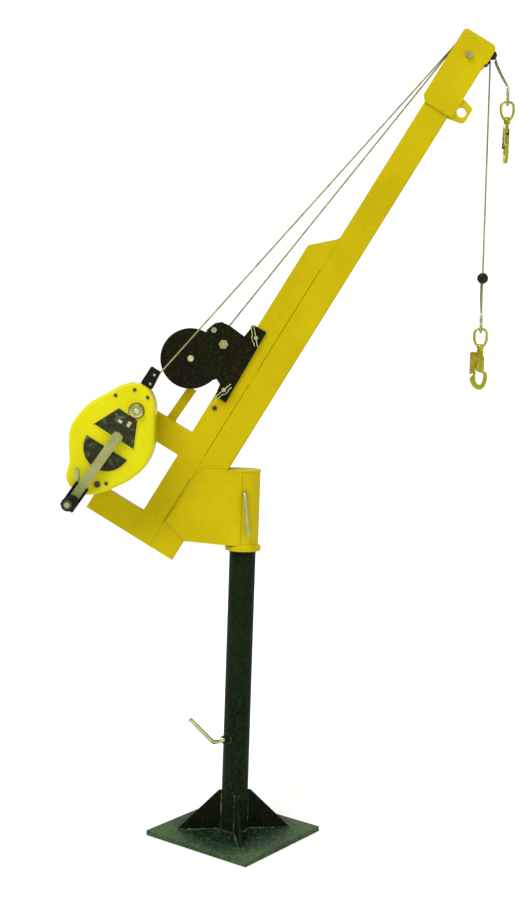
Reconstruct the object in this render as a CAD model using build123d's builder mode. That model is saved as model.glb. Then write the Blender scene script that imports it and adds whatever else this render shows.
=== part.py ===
"""Davit hoist on a column base: fixed boom, retractable cable unit and plate winch.

Units are millimetres. Z is up the column, X is the way the boom reaches, the
origin is the middle of the base plate's underside. Pieces that follow the boom
are drawn in (s, t): s runs up along the boom, t across it towards the top side.
"""
import math
import os

from build123d import *

os.makedirs("parts", exist_ok=True)

# ---------------------------------------------------------------- dimensions
BASE_TURN = 8.75            # the base plate's diagonals from the X axis, degrees
PLATE_SIDE = 360.0
PLATE_T = 12.7
COL_OD = 76.1
COL_WALL = 5.0
COL_TOP = 822.0
GUSSET_REACH = 160.0
GUSSET_TOP = 126.0
GUSSET_T = 8.0
SPIGOT_R = 30.15
BUSH_T = 2.85               # bush wall, fills the column bore around the spigot
SLEEVE_R = 44.45
SLEEVE_TOP = 1055.0
COLLAR_R = 52.0
COLLAR_Z = (827.0, 841.0)

BOOM_ANGLE = 60.0
BOOM_W = 80.0               # square boom tube
BOOM_WALL = 4.0
BOOM_T0 = 571.5             # under side of the boom in t
BOOM_S = (588.0, 2192.0)
STIFF_T = (651.5, 718.0)
STIFF_S = (588.0, 1562.0)
STIFF_TAPER_S = 1625.0
LOWER_ARM_S = (588.0, 663.0)
UPPER_ARM_S = (854.0, 929.0)
PLATE6 = 6.0

HEAD_S = (2086.0, 2327.0)
HEAD_T = (561.5, 665.0)
SHEAVE_C = (601.0, 2268.0)  # x, z of the sheave axle
SHEAVE_PITCH_R = 51.0
ROPE_D = 5.0
Y_RETRIEVE = -18.0          # plane of the retractable unit's rope on its sheave
Y_HOIST = 18.0              # plane of the winch rope
EXIT_C = (662.5, 2262.0)    # exit guide bar
EXIT_BAR_R = 7.0

UNIT_S0 = 790.0             # middle of the retractable unit in (s, t)
UNIT_T0 = 893.0
UNIT_Y = (-150.0, -100.0, -50.0)
UNIT_WALL = 5.0
UNIT_DRUM_UV = (-9.0, 1.0)
UNIT_CRANK_UV = (27.35, -8.2)
UNIT_GEAR_MODULE = 1.5
CRANK_R = 6.95               # crank shaft

WINCH_C = (1109.0, 832.0)   # drum axis in (s, t)
WINCH_R = 87.0
WINCH_DRIVE_C = (1193.0, 773.2)
WINCH_CORE_R = 23.0
GEAR_MODULE = 2.5
DRUM_TEETH = 63
PINION_TEETH = 19

HOOK_X = 672.0              # plumb line of the winch rope
HOOK_TOP_Z = 1492.0         # top of the winch hook's bail
BALL_R = 16.0
HOOK2_TOP = (720.0, 2146.0)

C60 = math.cos(math.radians(BOOM_ANGLE))
S60 = math.sin(math.radians(BOOM_ANGLE))


# ------------------------------------------------------------------- helpers
def xz(s, t):
    """Boom coordinates to (x, z)."""
    return (s * C60 - t * S60, s * S60 + t * C60)


def front(y):
    """Sketch plane facing -Y whose local axes are X and Z."""
    return Plane(origin=(0, y, 0), x_dir=(1, 0, 0), z_dir=(0, -1, 0))


def along(y):
    """Sketch plane facing -Y whose local axes are s and t."""
    return Plane(origin=(0, y, 0), x_dir=(C60, 0, S60), z_dir=(0, -1, 0))


def save(builder, name):
    save_part(builder.part, name)


def save_part(part, name):
    part.label = name
    export_step(part, f"parts/{name}.step")
    print(f"{name}: {len(part.solids())} solid(s), {part.volume / 1000:.1f} cm3")


def slab(points, plane, thick, corner=0.0):
    """A flat plate from its outline, thick measured from the plane towards -Y."""
    with BuildSketch(plane) as outline:
        with BuildLine():
            Polyline(*points, close=True)
        make_face()
        if corner:
            fillet(outline.vertices(), corner)
    extrude(outline.sketch, amount=thick)


def rod(plane, centre, radius, length, mode=Mode.ADD):
    """A round bar along -Y starting on the plane."""
    with BuildSketch(plane) as outline:
        with Locations(centre):
            Circle(radius)
    extrude(outline.sketch, amount=length, mode=mode)


def hexagon(plane, centre, across, length, mode=Mode.ADD):
    with BuildSketch(plane) as outline:
        with Locations(centre):
            RegularPolygon(across / math.sqrt(3), 6)
    extrude(outline.sketch, amount=length, mode=mode)


def gear_points(module, teeth, turn):
    """Outline of a spur gear with straight-sided teeth and running backlash."""
    pitch = module * teeth / 2
    step = 2 * math.pi / teeth
    rows = ((pitch - 1.2 * module, 0.30), (pitch, 0.205), (pitch + 0.95 * module, 0.10))
    points = []
    for tooth in range(teeth):
        mid = tooth * step + turn
        for radius, share in rows:
            a = mid - share * step
            points.append((radius * math.cos(a), radius * math.sin(a)))
        for radius, share in reversed(rows):
            a = mid + share * step
            points.append((radius * math.cos(a), radius * math.sin(a)))
    return points


def gear(plane, centre, module, teeth, width, turn):
    points = [(centre[0] + x, centre[1] + y) for x, y in gear_points(module, teeth, turn)]
    slab(points, plane, width)


# ------------------------------------------------------------------ the base
with BuildPart() as base_plate:
    with BuildSketch(Plane.XY):
        Rectangle(PLATE_SIDE, PLATE_SIDE, rotation=BASE_TURN + 45)
        fillet(vertices(), 3)
    extrude(amount=PLATE_T)
    chamfer(base_plate.faces().sort_by(Axis.Z)[-1].edges(), 0.8)
save(base_plate, "base_plate")

with BuildPart() as base_gussets:
    for k in range(4):
        turn = Location((0, 0, 0), (0, 0, BASE_TURN + 90 * k))
        with BuildSketch(Plane(turn) * Plane.XZ.offset(-GUSSET_T / 2)):
            with BuildLine():
                Polyline((COL_OD / 2 - 0.4, PLATE_T), (GUSSET_REACH, PLATE_T), (GUSSET_REACH, PLATE_T + 6),
                         (COL_OD / 2 + 8, GUSSET_TOP), (COL_OD / 2 - 0.4, GUSSET_TOP), close=True)
            make_face()
        extrude(amount=GUSSET_T)
    with BuildSketch(Plane.XY.offset(PLATE_T)):
        Circle(COL_OD / 2)
    extrude(amount=GUSSET_TOP, mode=Mode.SUBTRACT)
save(base_gussets, "base_gussets")

CLAMP_Z = 281.0
CLAMP_AZ = 225.0
clamp_dir = (math.cos(math.radians(CLAMP_AZ)), math.sin(math.radians(CLAMP_AZ)), 0)
clamp_plane = Plane(origin=(0, 0, CLAMP_Z), x_dir=(0, 0, 1), z_dir=clamp_dir)

with BuildPart() as base_tube:
    with BuildSketch(Plane.XY.offset(PLATE_T)):
        Circle(COL_OD / 2)
        Circle(COL_OD / 2 - COL_WALL, mode=Mode.SUBTRACT)
    extrude(amount=COL_TOP - PLATE_T)
    with BuildSketch(clamp_plane):
        Circle(6.1)
    extrude(amount=60, mode=Mode.SUBTRACT)
save(base_tube, "base_tube")

with BuildPart() as clamp_nut:
    with BuildSketch(clamp_plane.offset(33)):
        RegularPolygon(13.0, 6)
        Circle(6.1, mode=Mode.SUBTRACT)
    extrude(amount=19)
    with BuildSketch(Plane.XY.offset(CLAMP_Z - 40)):
        Circle(COL_OD / 2)
    extrude(amount=80, mode=Mode.SUBTRACT)
save(clamp_nut, "clamp_nut")

with BuildPart() as column_bushes:
    for z in (COL_TOP - 34, 330.0):
        with BuildSketch(Plane.XY.offset(z)):
            Circle(COL_OD / 2 - COL_WALL)
            Circle(SPIGOT_R + 0.05, mode=Mode.SUBTRACT)
        extrude(amount=34)
    with BuildSketch(Plane.XY.offset(COL_TOP)):
        Circle(41.0)
        Circle(SPIGOT_R + 0.05, mode=Mode.SUBTRACT)
    extrude(amount=COLLAR_Z[0] - COL_TOP)
save(column_bushes, "column_bushes")

# The clamp screw: straight threaded end, then a bent handle.
SCREW_OUT = 92.0
screw_end = Vector(*clamp_dir) * SCREW_OUT + Vector(0, 0, CLAMP_Z)
screw_start = Vector(*clamp_dir) * (SPIGOT_R + 0.3) + Vector(0, 0, CLAMP_Z)
handle_end = Vector(-132.5, -85.0, 351.0)
with BuildPart() as clamp_screw:
    with BuildLine() as screw_path:
        FilletPolyline(screw_start, screw_end, handle_end, radius=16)
    with BuildSketch(Plane(origin=screw_start, z_dir=clamp_dir)):
        Circle(6.0)
    sweep()
save(clamp_screw, "clamp_screw")

# ------------------------------------------------- mast, sleeve and the knee
with BuildPart() as mast_spigot:
    with BuildSketch(Plane.XZ):
        with BuildLine():
            Polyline((0, 240), (SPIGOT_R - 2, 240), (SPIGOT_R, 242), (SPIGOT_R, COLLAR_Z[0]),
                     (COLLAR_R, COLLAR_Z[0]), (COLLAR_R, COLLAR_Z[1] - 3), (COLLAR_R - 3, COLLAR_Z[1]),
                     (39.4, COLLAR_Z[1]), (39.4, SLEEVE_TOP), (0, SLEEVE_TOP), close=True)
        make_face()
    revolve(axis=Axis.Z)
    with BuildSketch(Plane.XY.offset(240)):
        Circle(SPIGOT_R - 6)
    extrude(amount=SLEEVE_TOP - 240 - 10, mode=Mode.SUBTRACT)
    rod(front(0), (1.0, 997.0), 5.6, 60, mode=Mode.SUBTRACT)
save(mast_spigot, "mast_spigot")

with BuildPart() as head_sleeve:
    with BuildSketch(Plane.XY.offset(COLLAR_Z[1])):
        Circle(SLEEVE_R)
        Circle(39.4, mode=Mode.SUBTRACT)
    extrude(amount=SLEEVE_TOP - COLLAR_Z[1])
    rod(front(0), (1.0, 997.0), 5.6, 60, mode=Mode.SUBTRACT)
save(head_sleeve, "head_sleeve")

# Lock pin: cross rod into the sleeve and spigot, then the hanging handle.
with BuildPart() as lock_pin:
    with BuildLine():
        FilletPolyline((1.0, -36.0, 997.0), (1.0, -56.0, 997.0), (15.5, -56.0, 872.0), radius=9)
    with BuildSketch(Plane(origin=(1.0, -36.0, 997.0), z_dir=(0, -1, 0))):
        Circle(5.3)
    sweep()
    rod(front(-34.0), (1.0, 997.0), 5.5, 16)
save(lock_pin, "lock_pin")

knee_outline = ((-127.0, 1055.0), (-222.0, 908.0), (-164.0, 851.5), (-44.0, 843.0), (-8.0, 843.0),
                (-8.0, 1055.0))
with BuildPart() as knee_plates:
    slab(knee_outline, front(-BOOM_W / 2), PLATE6)
    slab(knee_outline, front(BOOM_W / 2 + PLATE6), PLATE6)
    with BuildSketch(Plane.XY.offset(COLLAR_Z[1])):
        Circle(SLEEVE_R)
    extrude(amount=SLEEVE_TOP - COLLAR_Z[1] + 10, mode=Mode.SUBTRACT)
save(knee_plates, "knee_plates")

with BuildPart() as knee_cap:
    with BuildSketch(Plane.XY.offset(SLEEVE_TOP)):
        with Locations((-60, 0)):
            Rectangle(120, 2 * (BOOM_W / 2 + PLATE6))
        Circle(2 * 23.0)
    extrude(amount=PLATE6)
    with BuildSketch(along(60)):
        with Locations((900, BOOM_T0 + 60)):
            Rectangle(500, 120)
    extrude(amount=120, mode=Mode.SUBTRACT)
save(knee_cap, "knee_cap")

# ---------------------------------------------------------------- boom frame
boom_mid_t = BOOM_T0 + BOOM_W / 2
with BuildPart() as boom_tube:
    slab(((BOOM_S[0], BOOM_T0), (BOOM_S[1], BOOM_T0), (BOOM_S[1], BOOM_T0 + BOOM_W),
          (BOOM_S[0], BOOM_T0 + BOOM_W)), along(BOOM_W / 2), BOOM_W)
    fillet([e for e in boom_tube.edges() if e.length > 1000], 5)
    with BuildSketch(Plane(origin=(xz(BOOM_S[0], boom_mid_t)[0], 0, xz(BOOM_S[0], boom_mid_t)[1]),
                           x_dir=(0, 1, 0), z_dir=(C60, 0, S60))):
        Rectangle(BOOM_W - 2 * BOOM_WALL, BOOM_W - 2 * BOOM_WALL)
    extrude(amount=BOOM_S[1] - BOOM_S[0], mode=Mode.SUBTRACT)
save(boom_tube, "boom_tube")

stiff_outline = ((STIFF_S[0], STIFF_T[0]), (STIFF_TAPER_S, STIFF_T[0]), (STIFF_S[1], STIFF_T[1]),
                 (STIFF_S[0], STIFF_T[1]))
hitch_s = (1257.0, 1083.0)
HITCH_T = 704.0
with BuildPart() as stiffener_tube:
    slab(stiff_outline, along(BOOM_W / 2), BOOM_W)
    slab_in = ((STIFF_S[0] - 1, STIFF_T[0] - 1), (STIFF_TAPER_S - 12, STIFF_T[0] - 1),
               (STIFF_S[1] - 3, STIFF_T[1] - BOOM_WALL), (STIFF_S[0] - 1, STIFF_T[1] - BOOM_WALL))
    with BuildSketch(along(BOOM_W / 2 - BOOM_WALL)):
        with BuildLine():
            Polyline(*slab_in, close=True)
        make_face()
    extrude(amount=BOOM_W - 2 * BOOM_WALL, mode=Mode.SUBTRACT)
    for s in hitch_s:
        rod(along(60), (s, HITCH_T), 6.5, 120, mode=Mode.SUBTRACT)
save(stiffener_tube, "stiffener_tube")

with BuildPart() as closing_plates:
    slab(((-163.0, 851.4), (-46.0, 843.1), (-46.0, 849.1), (-160.0, 857.2)), front(BOOM_W / 2), BOOM_W)
    with BuildSketch(Plane.XY.offset(COLLAR_Z[1])):
        Circle(SLEEVE_R)
    extrude(amount=30, mode=Mode.SUBTRACT)
    with BuildSketch(along(60)):
        with Locations((700, BOOM_T0 + 20)):
            Rectangle(400, 40)
    extrude(amount=120, mode=Mode.SUBTRACT)
    inner = BOOM_W / 2 - BOOM_WALL
    slab(((BOOM_S[0], boom_mid_t - inner), (BOOM_S[0] + 5, boom_mid_t - inner),
          (BOOM_S[0] + 5, boom_mid_t + inner), (BOOM_S[0], boom_mid_t + inner)), along(inner), 2 * inner)
    slab(((STIFF_S[0], STIFF_T[0]), (STIFF_S[0] + 5, STIFF_T[0]),
          (STIFF_S[0] + 5, STIFF_T[1] - BOOM_WALL), (STIFF_S[0], STIFF_T[1] - BOOM_WALL)), along(inner), 2 * inner)
save(closing_plates, "closing_plates")


def arm(s_range, t_end, corner):
    """A box-section arm that leaves the stiffener square to the boom."""
    s0, s1 = s_range
    t0 = STIFF_T[1]
    slab(((s0, t0), (s1, t0), (s1, t_end), (s0, t_end)), along(0), BOOM_W / 2)
    with BuildSketch(along(-4)) as hollow:
        with BuildLine():
            Polyline((s0 + 4, t0), (s1 - 4, t0), (s1 - 4, t_end - 4), (s0 + 4, t_end - 4), close=True)
        make_face()
    extrude(hollow.sketch, amount=BOOM_W / 2 - 8, mode=Mode.SUBTRACT)


with BuildPart() as lower_arm:
    arm(LOWER_ARM_S, 862.0, 10)
save(lower_arm, "lower_arm")

with BuildPart() as upper_arm:
    arm(UPPER_ARM_S, 920.0, 10)
save(upper_arm, "upper_arm")

with BuildPart() as strut_bar:
    slab(((UPPER_ARM_S[1], 776.0), (1036.0, 770.5), (1037.0, 797.0), (UPPER_ARM_S[1], 803.0)), along(12), 24)
save(strut_bar, "strut_bar")

# ----------------------------------------------------------------- boom head
s0, s1 = HEAD_S
t0, t1 = HEAD_T
BACK_CHEEK_SHORT = 26.0


def cheek_outline(low):
    return ((low, t0), (2268, t0), (2272, t0 - 4.5), (s1 - 12, t0 - 4.5), (s1 - 4, t0), (s1, t0 + 6),
            (s1, t1 - 8), (s1 - 8, t1), (low + 15, t1), (low, t1 - 15))


with BuildPart() as head_cheeks:
    slab(cheek_outline(s0), along(-BOOM_W / 2), PLATE6)
    slab(cheek_outline(s0 + BACK_CHEEK_SHORT), along(BOOM_W / 2 + PLATE6), PLATE6)
    rod(front(60), SHEAVE_C, 8.05, 120, mode=Mode.SUBTRACT)
save(head_cheeks, "head_cheeks")

with BuildPart() as head_strips:
    slab(((s0 + 42, t1), (2210, t1), (2210, t1 - PLATE6), (s0 + 42, t1 - PLATE6)), along(BOOM_W / 2), BOOM_W)
    slab(((2168, t0), (2230, t0), (2230, t0 + PLATE6), (2168, t0 + PLATE6)), along(BOOM_W / 2), BOOM_W)
    slab(((s1 - PLATE6, t0 + 2), (s1 - 0.2, t0 + 6), (s1 - 0.2, t1 - 8), (s1 - PLATE6, t1 - 2)),
         along(BOOM_W / 2), BOOM_W)
    slab(((2116, BOOM_T0 + BOOM_W), (2122, BOOM_T0 + BOOM_W), (2137, t1 - PLATE6), (2131, t1 - PLATE6)),
         along(BOOM_W / 2), BOOM_W)
save(head_strips, "head_strips")

with BuildPart() as lifting_lug:
    with BuildSketch(along(-28)):
        with BuildLine():
            Polyline((2081, BOOM_T0), (2092, 522.5), (2142, 522.5), (2154, BOOM_T0), close=True)
        make_face()
        fillet(vertices().group_by(Axis.Y)[0], 12)
        with Locations((2116.3, 545.1)):
            Circle(14.5, mode=Mode.SUBTRACT)
    extrude(amount=12)
save(lifting_lug, "lifting_lug")


def turned(profile, centre):
    """Turn a profile of (radius, y) about the Y line through centre (x, z)."""
    cx, cz = centre
    with BuildSketch(Plane(origin=(cx, 0, cz), x_dir=(1, 0, 0), z_dir=(0, 0, 1))) as outline:
        with BuildLine():
            Polyline(*profile, close=True)
        make_face()
    revolve(outline.sketch, axis=Axis((cx, 0, cz), (0, 1, 0)))


def sheave(y_mid):
    rim = SHEAVE_PITCH_R + 2.0
    root = SHEAVE_PITCH_R - ROPE_D / 2 - 0.3
    turned(((8.06, y_mid - 7), (rim, y_mid - 7), (rim, y_mid - 5.6), (root, y_mid - 2.9),
            (root, y_mid + 2.9), (rim, y_mid + 5.6), (rim, y_mid + 7), (8.06, y_mid + 7)), SHEAVE_C)


with BuildPart() as retrieve_sheave:
    sheave(Y_RETRIEVE)
save(retrieve_sheave, "retrieve_sheave")

with BuildPart() as hoist_sheave:
    sheave(Y_HOIST)
save(hoist_sheave, "hoist_sheave")

with BuildPart() as sheave_axle:
    rod(front(50), SHEAVE_C, 8.0, 96)
    hexagon(front(-46), SHEAVE_C, 18.0, 8)
    hexagon(front(56), SHEAVE_C, 18.0, 10)
save(sheave_axle, "sheave_axle")

with BuildPart() as head_spacers:
    for y0, y1 in ((-40, -25.3), (-10.7, 10.7), (25.3, 40)):
        turned(((8.0, y0), (13, y0), (13, y1), (8.0, y1)), SHEAVE_C)
    rod(along(BOOM_W / 2), (2219, 657.5), 5, BOOM_W)
save(head_spacers, "head_spacers")

with BuildPart() as exit_guide:
    for y in (40.0,):
        with BuildSketch(front(y)):
            with Locations(EXIT_C):
                Circle(8)
            with BuildLine():
                Polyline((EXIT_C[0] - 6, EXIT_C[1] + 6), (EXIT_C[0] - 22, EXIT_C[1] + 4),
                         (EXIT_C[0] - 26, EXIT_C[1] - 8), (EXIT_C[0] - 4, EXIT_C[1] - 7), close=True)
            make_face()
        extrude(amount=3)
    rod(front(37.0), EXIT_C, EXIT_BAR_R, 37)
save(exit_guide, "exit_guide")


# ------------------------------------------------------------- the two ropes
def tangent_run(c1, r1, c2, r2):
    """Straight run whose left normal offsets from the centres are r1 and r2."""
    dx, dz = c2[0] - c1[0], c2[1] - c1[1]
    turn = math.atan2(dz, dx) + math.asin((r1 - r2) / math.hypot(dx, dz)) * -1
    nx, nz = -math.sin(turn), math.cos(turn)
    return (c1[0] + r1 * nx, c1[1] + r1 * nz), (c2[0] + r2 * nx, c2[1] + r2 * nz)


def on_circle(centre, radius, p, q):
    """Middle point of the shorter arc from p to q about centre."""
    ax, az = p[0] + q[0] - 2 * centre[0], p[1] + q[1] - 2 * centre[1]
    n = math.hypot(ax, az)
    return (centre[0] + radius * ax / n, centre[1] + radius * az / n)


def lift(p, y):
    return Vector(p[0], y, p[1])


winch_centre = xz(*WINCH_C)
hoist_a, hoist_b = tangent_run(winch_centre, -(WINCH_CORE_R + ROPE_D / 2), SHEAVE_C, SHEAVE_PITCH_R)
exit_r = EXIT_BAR_R + ROPE_D / 2
hoist_c, hoist_d = tangent_run(SHEAVE_C, SHEAVE_PITCH_R, EXIT_C, exit_r)
hoist_e = (EXIT_C[0] + exit_r, EXIT_C[1])
with BuildPart() as hoist_rope:
    with BuildLine():
        Line(lift(hoist_a, Y_HOIST), lift(hoist_b, Y_HOIST))
        ThreePointArc(lift(hoist_b, Y_HOIST), lift(on_circle(SHEAVE_C, SHEAVE_PITCH_R, hoist_b, hoist_c), Y_HOIST),
                      lift(hoist_c, Y_HOIST))
        Line(lift(hoist_c, Y_HOIST), lift(hoist_d, Y_HOIST))
        ThreePointArc(lift(hoist_d, Y_HOIST), lift(on_circle(EXIT_C, exit_r, hoist_d, hoist_e), Y_HOIST),
                      lift(hoist_e, Y_HOIST))
    run = lift(hoist_b, Y_HOIST) - lift(hoist_a, Y_HOIST)
    with BuildSketch(Plane(origin=lift(hoist_a, Y_HOIST), z_dir=run)):
        Circle(ROPE_D / 2)
    sweep()
save(hoist_rope, "hoist_rope")

BALL2 = (671.0, 2276.0)
unit_drum_c = xz(UNIT_S0 + UNIT_DRUM_UV[0], UNIT_T0 + UNIT_DRUM_UV[1])
UNIT_ROPE_R = 30.8
UNIT_ROPE_Y = -98.0
ret_a, ret_b = tangent_run(unit_drum_c, UNIT_ROPE_R, SHEAVE_C, SHEAVE_PITCH_R)
ret_c, ret_d = tangent_run(SHEAVE_C, SHEAVE_PITCH_R, BALL2, 0.0)
ret_from = lift(ret_a, UNIT_ROPE_Y)
ret_to = lift(ret_b, Y_RETRIEVE)
ret_dir = (ret_to - ret_from).normalized()
with BuildPart() as retrieve_rope:
    with BuildLine():
        ThreePointArc(ret_to, lift(on_circle(SHEAVE_C, SHEAVE_PITCH_R, ret_b, ret_c), Y_RETRIEVE),
                      lift(ret_c, Y_RETRIEVE))
        Line(lift(ret_c, Y_RETRIEVE), lift(ret_d, Y_RETRIEVE))
    with BuildSketch(Plane(origin=ret_to, z_dir=(ret_dir.X, 0, ret_dir.Z))):
        Circle(ROPE_D / 2)
    sweep()
    with BuildSketch(Plane(origin=ret_from, z_dir=ret_dir)):
        Circle(ROPE_D / 2)
    extrude(amount=(ret_to - ret_from).length - 0.4)
save(retrieve_rope, "retrieve_rope")


# ------------------------------------------------------ retractable unit
def uv(u, w):
    return (UNIT_S0 + u, UNIT_T0 + w)


case_uv = ((188, 18), (170, 52), (124, 78), (62, 114), (-16, 122), (-62, 97), (-102, 68), (-140, 60),
           (-160, 36), (-160, -22), (-112, -66), (-60, -100), (-12, -117), (48, -115), (128, -68),
           (164, -48), (188, -14))
case_outline = [uv(u, w) for u, w in case_uv]
case_c = uv(*UNIT_DRUM_UV)
crank_c = uv(*UNIT_CRANK_UV)
KNOB_UV = (119, -15)
LEVER_UV = (-108, 42)
ARM_UV = (-203, 6)          # a point the crank arm runs towards


def bend_radii(points):
    """0.45 of the shorter neighbouring run over the tangent of half the turn, at each inner point."""
    radii = []
    for a, b, c in zip(points, points[1:], points[2:]):
        turn = (b - a).get_angle(c - b)
        shorter = min((b - a).length, (c - b).length)
        radii.append(0.45 * shorter / math.tan(math.radians(turn) / 2))
    return radii


def case_sketch(y):
    """The casing's outline, each corner rounded as far as its neighbours allow."""
    corners = [Vector(p[0], p[1]) for p in case_outline]
    radii = bend_radii([corners[-1]] + corners + [corners[0]])
    with BuildSketch(along(y)) as outline:
        with BuildLine():
            Polyline(*case_outline, close=True)
        make_face()
        for corner, radius in zip(corners, radii):
            fillet(outline.vertices().sort_by(lambda v: (Vector(v.X, v.Y) - corner).length)[0], min(radius, 150))
    return outline


def case_half(y_open, depth, sign):
    """Half of the casing, open at y_open; sign is -1 for the front half."""
    y_closed = y_open + sign * depth
    top = max(y_open, y_closed)
    extrude(case_sketch(top).sketch, amount=depth)
    shut = faces().filter_by(Axis.Y).sort_by(Axis.Y)[0 if sign < 0 else -1]
    fillet(shut.edges(), 11)
    inner_top = y_open if sign < 0 else y_closed - UNIT_WALL
    with BuildSketch(along(inner_top)) as hollow:
        add(offset(case_sketch(0).sketch_local, amount=-UNIT_WALL))
    extrude(hollow.sketch, amount=depth - UNIT_WALL, mode=Mode.SUBTRACT)


def rope_hole(radius):
    with BuildSketch(Plane(origin=ret_from + ret_dir * 90, z_dir=ret_dir)) as bore:
        Circle(radius)
    extrude(bore.sketch, amount=190, mode=Mode.SUBTRACT)


with BuildPart() as unit_front_shell:
    case_half(UNIT_Y[1], 50, -1)
    rod(along(-140), crank_c, CRANK_R + 0.07, 20, mode=Mode.SUBTRACT)
    rod(along(-140), uv(*KNOB_UV), 5.08, 20, mode=Mode.SUBTRACT)
    rod(along(-140), uv(*LEVER_UV), 3.06, 20, mode=Mode.SUBTRACT)
    rod(along(-130), case_c, 8.0, 16, mode=Mode.SUBTRACT)
    rope_hole(4.2)
save(unit_front_shell, "unit_front_shell")

with BuildPart() as unit_back_shell:
    case_half(UNIT_Y[1], 50, 1)
    rod(along(-50), case_c, 8.0, 10, mode=Mode.SUBTRACT)
    rope_hole(4.2)
save(unit_back_shell, "unit_back_shell")

with BuildPart() as unit_mount_plate:
    slab([uv(148, 24), uv(148, -42), uv(-148, -50), uv(-148, 22)], along(-40), 10, corner=8)
    rod(along(-30), case_c, 8.0, 30, mode=Mode.SUBTRACT)
save(unit_mount_plate, "unit_mount_plate")

unit_mesh = math.atan2(UNIT_CRANK_UV[1] - UNIT_DRUM_UV[1], UNIT_CRANK_UV[0] - UNIT_DRUM_UV[0])
with BuildPart() as unit_drum:
    turned(((8.06, -84), (62, -84), (62, -87), (28.0, -87), (28.0, -114), (62, -114), (62, -117), (20, -117),
            (20, -120), (8.06, -120)), unit_drum_c)
    gear(along(-120), case_c, UNIT_GEAR_MODULE, 38, 8, unit_mesh)
    rod(along(-110), case_c, 8.06, 30, mode=Mode.SUBTRACT)
save(unit_drum, "unit_drum")

with BuildPart() as unit_spring:
    turned(((24, -80), (64, -80), (64, -62), (24, -62)), unit_drum_c)
save(unit_spring, "unit_spring")

with BuildPart() as unit_label:
    slab([uv(26, 66), uv(24, -64), uv(97, -31), uv(99, 30)], along(-150), 0.8)
    rod(along(-150), crank_c, 16.5, 0.8, mode=Mode.SUBTRACT)
    with BuildSketch(along(-150)):
        with Locations(uv(-12, 1)):
            Circle(65)
        with Locations(uv(-12 + 65, 1)):
            Rectangle(130, 140, mode=Mode.SUBTRACT)
    extrude(amount=0.8)
save(unit_label, "unit_label")

with BuildPart() as unit_nose:
    slab([uv(188.2, 20), uv(188.2, -17), uv(243, -12), uv(244, 19)], along(-74), 30, corner=3)
    rope_hole(3.6)
save(unit_nose, "unit_nose")

with BuildPart() as unit_screws:
    for u, w in ((166, 20), (167, -22), (125, 57), (-98, -50)):
        rod(along(-150), uv(u, w), 5.0, 2.5)
        hexagon(along(-152.0), uv(u, w), 5.0, 1.6, mode=Mode.SUBTRACT)
    rod(along(-150), uv(-113, -30), 9.0, 4.0)
    rod(along(-45), case_c, 8.0, 101)
save(unit_screws, "unit_screws")

with BuildPart() as unit_lever:
    slab([uv(LEVER_UV[0] + 7, LEVER_UV[1] + 5), uv(LEVER_UV[0] + 6, LEVER_UV[1] - 6), uv(-136, 18), uv(-141, 27)],
         along(-150.4), 4, corner=3)
    rod(along(-143), uv(*LEVER_UV), 3.0, 9)
save(unit_lever, "unit_lever")

with BuildPart() as unit_knob:
    turned(((0, -160.4), (15, -160.4), (19, -159), (20.5, -156.5), (20.5, -153), (17, -150.6), (5.0, -150.6),
            (5.0, -142), (0, -142)), xz(*uv(*KNOB_UV)))
save(unit_knob, "unit_knob")

# Crank: shaft with pinion, flat arm, channel and grip.
pinion_turn = unit_mesh + math.pi + math.pi / 12
arm_dir = math.atan2(ARM_UV[1] - UNIT_CRANK_UV[1], ARM_UV[0] - UNIT_CRANK_UV[0])


def on_arm(a, b):
    """Point a mm along the crank arm and b mm to its side, in (s, t)."""
    c, s = math.cos(arm_dir), math.sin(arm_dir)
    return (crank_c[0] + a * c - b * s, crank_c[1] + a * s + b * c)


def arm_box(a0, a1, half):
    return [on_arm(a0, half), on_arm(a0, -half), on_arm(a1, -half), on_arm(a1, half)]


ARM_END = 206.5
GRIP_A, GRIP_B = 212.5, 2.5
grip_c = on_arm(GRIP_A, GRIP_B)
with BuildPart() as crank_shaft:
    gear(along(-120), crank_c, UNIT_GEAR_MODULE, 12, 8, pinion_turn)
    rod(along(-120), crank_c, CRANK_R, 48)
    rod(along(-150.5), crank_c, 16.0, 14.5)
    hexagon(along(-268), grip_c, 14.0, 8)
    rod(along(-267), grip_c, 5.5, 4.2, mode=Mode.SUBTRACT)
save(crank_shaft, "crank_shaft")

with BuildPart() as crank_arm:
    slab(arm_box(-14, ARM_END, 13.5), along(-165), 6, corner=3)
    rod(along(-160), crank_c, CRANK_R, 8, mode=Mode.SUBTRACT)
    with BuildSketch(along(-160)) as corner_cut:
        with Locations(grip_c):
            Circle(6.0)
    extrude(corner_cut.sketch, amount=20, mode=Mode.SUBTRACT)
save(crank_arm, "crank_arm")

with BuildPart() as crank_channel:
    slab(arm_box(162, 240, 21), along(-162), 15, corner=3)
    slab_cut = arm_box(120, ARM_END + 0.5, 17)
    with BuildSketch(along(-165)) as seat:
        with BuildLine():
            Polyline(*slab_cut, close=True)
        make_face()
    extrude(seat.sketch, amount=14, mode=Mode.SUBTRACT)
    for side in (17.0, -17.0):
        inner = side - math.copysign(3.5, side)
        slab([on_arm(166, side), on_arm(166, inner), on_arm(195, inner), on_arm(195, side)], along(-165), 6)
    rod(along(-170), grip_c, 5.5, 101)
save(crank_channel, "crank_channel")

with BuildPart() as crank_grip:
    turned(((5.57, -181), (15, -181), (18, -186), (19, -205), (17.5, -225), (19, -248), (18.5, -262), (15, -266),
            (5.57, -266)), xz(*grip_c))
save(crank_grip, "crank_grip")

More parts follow.
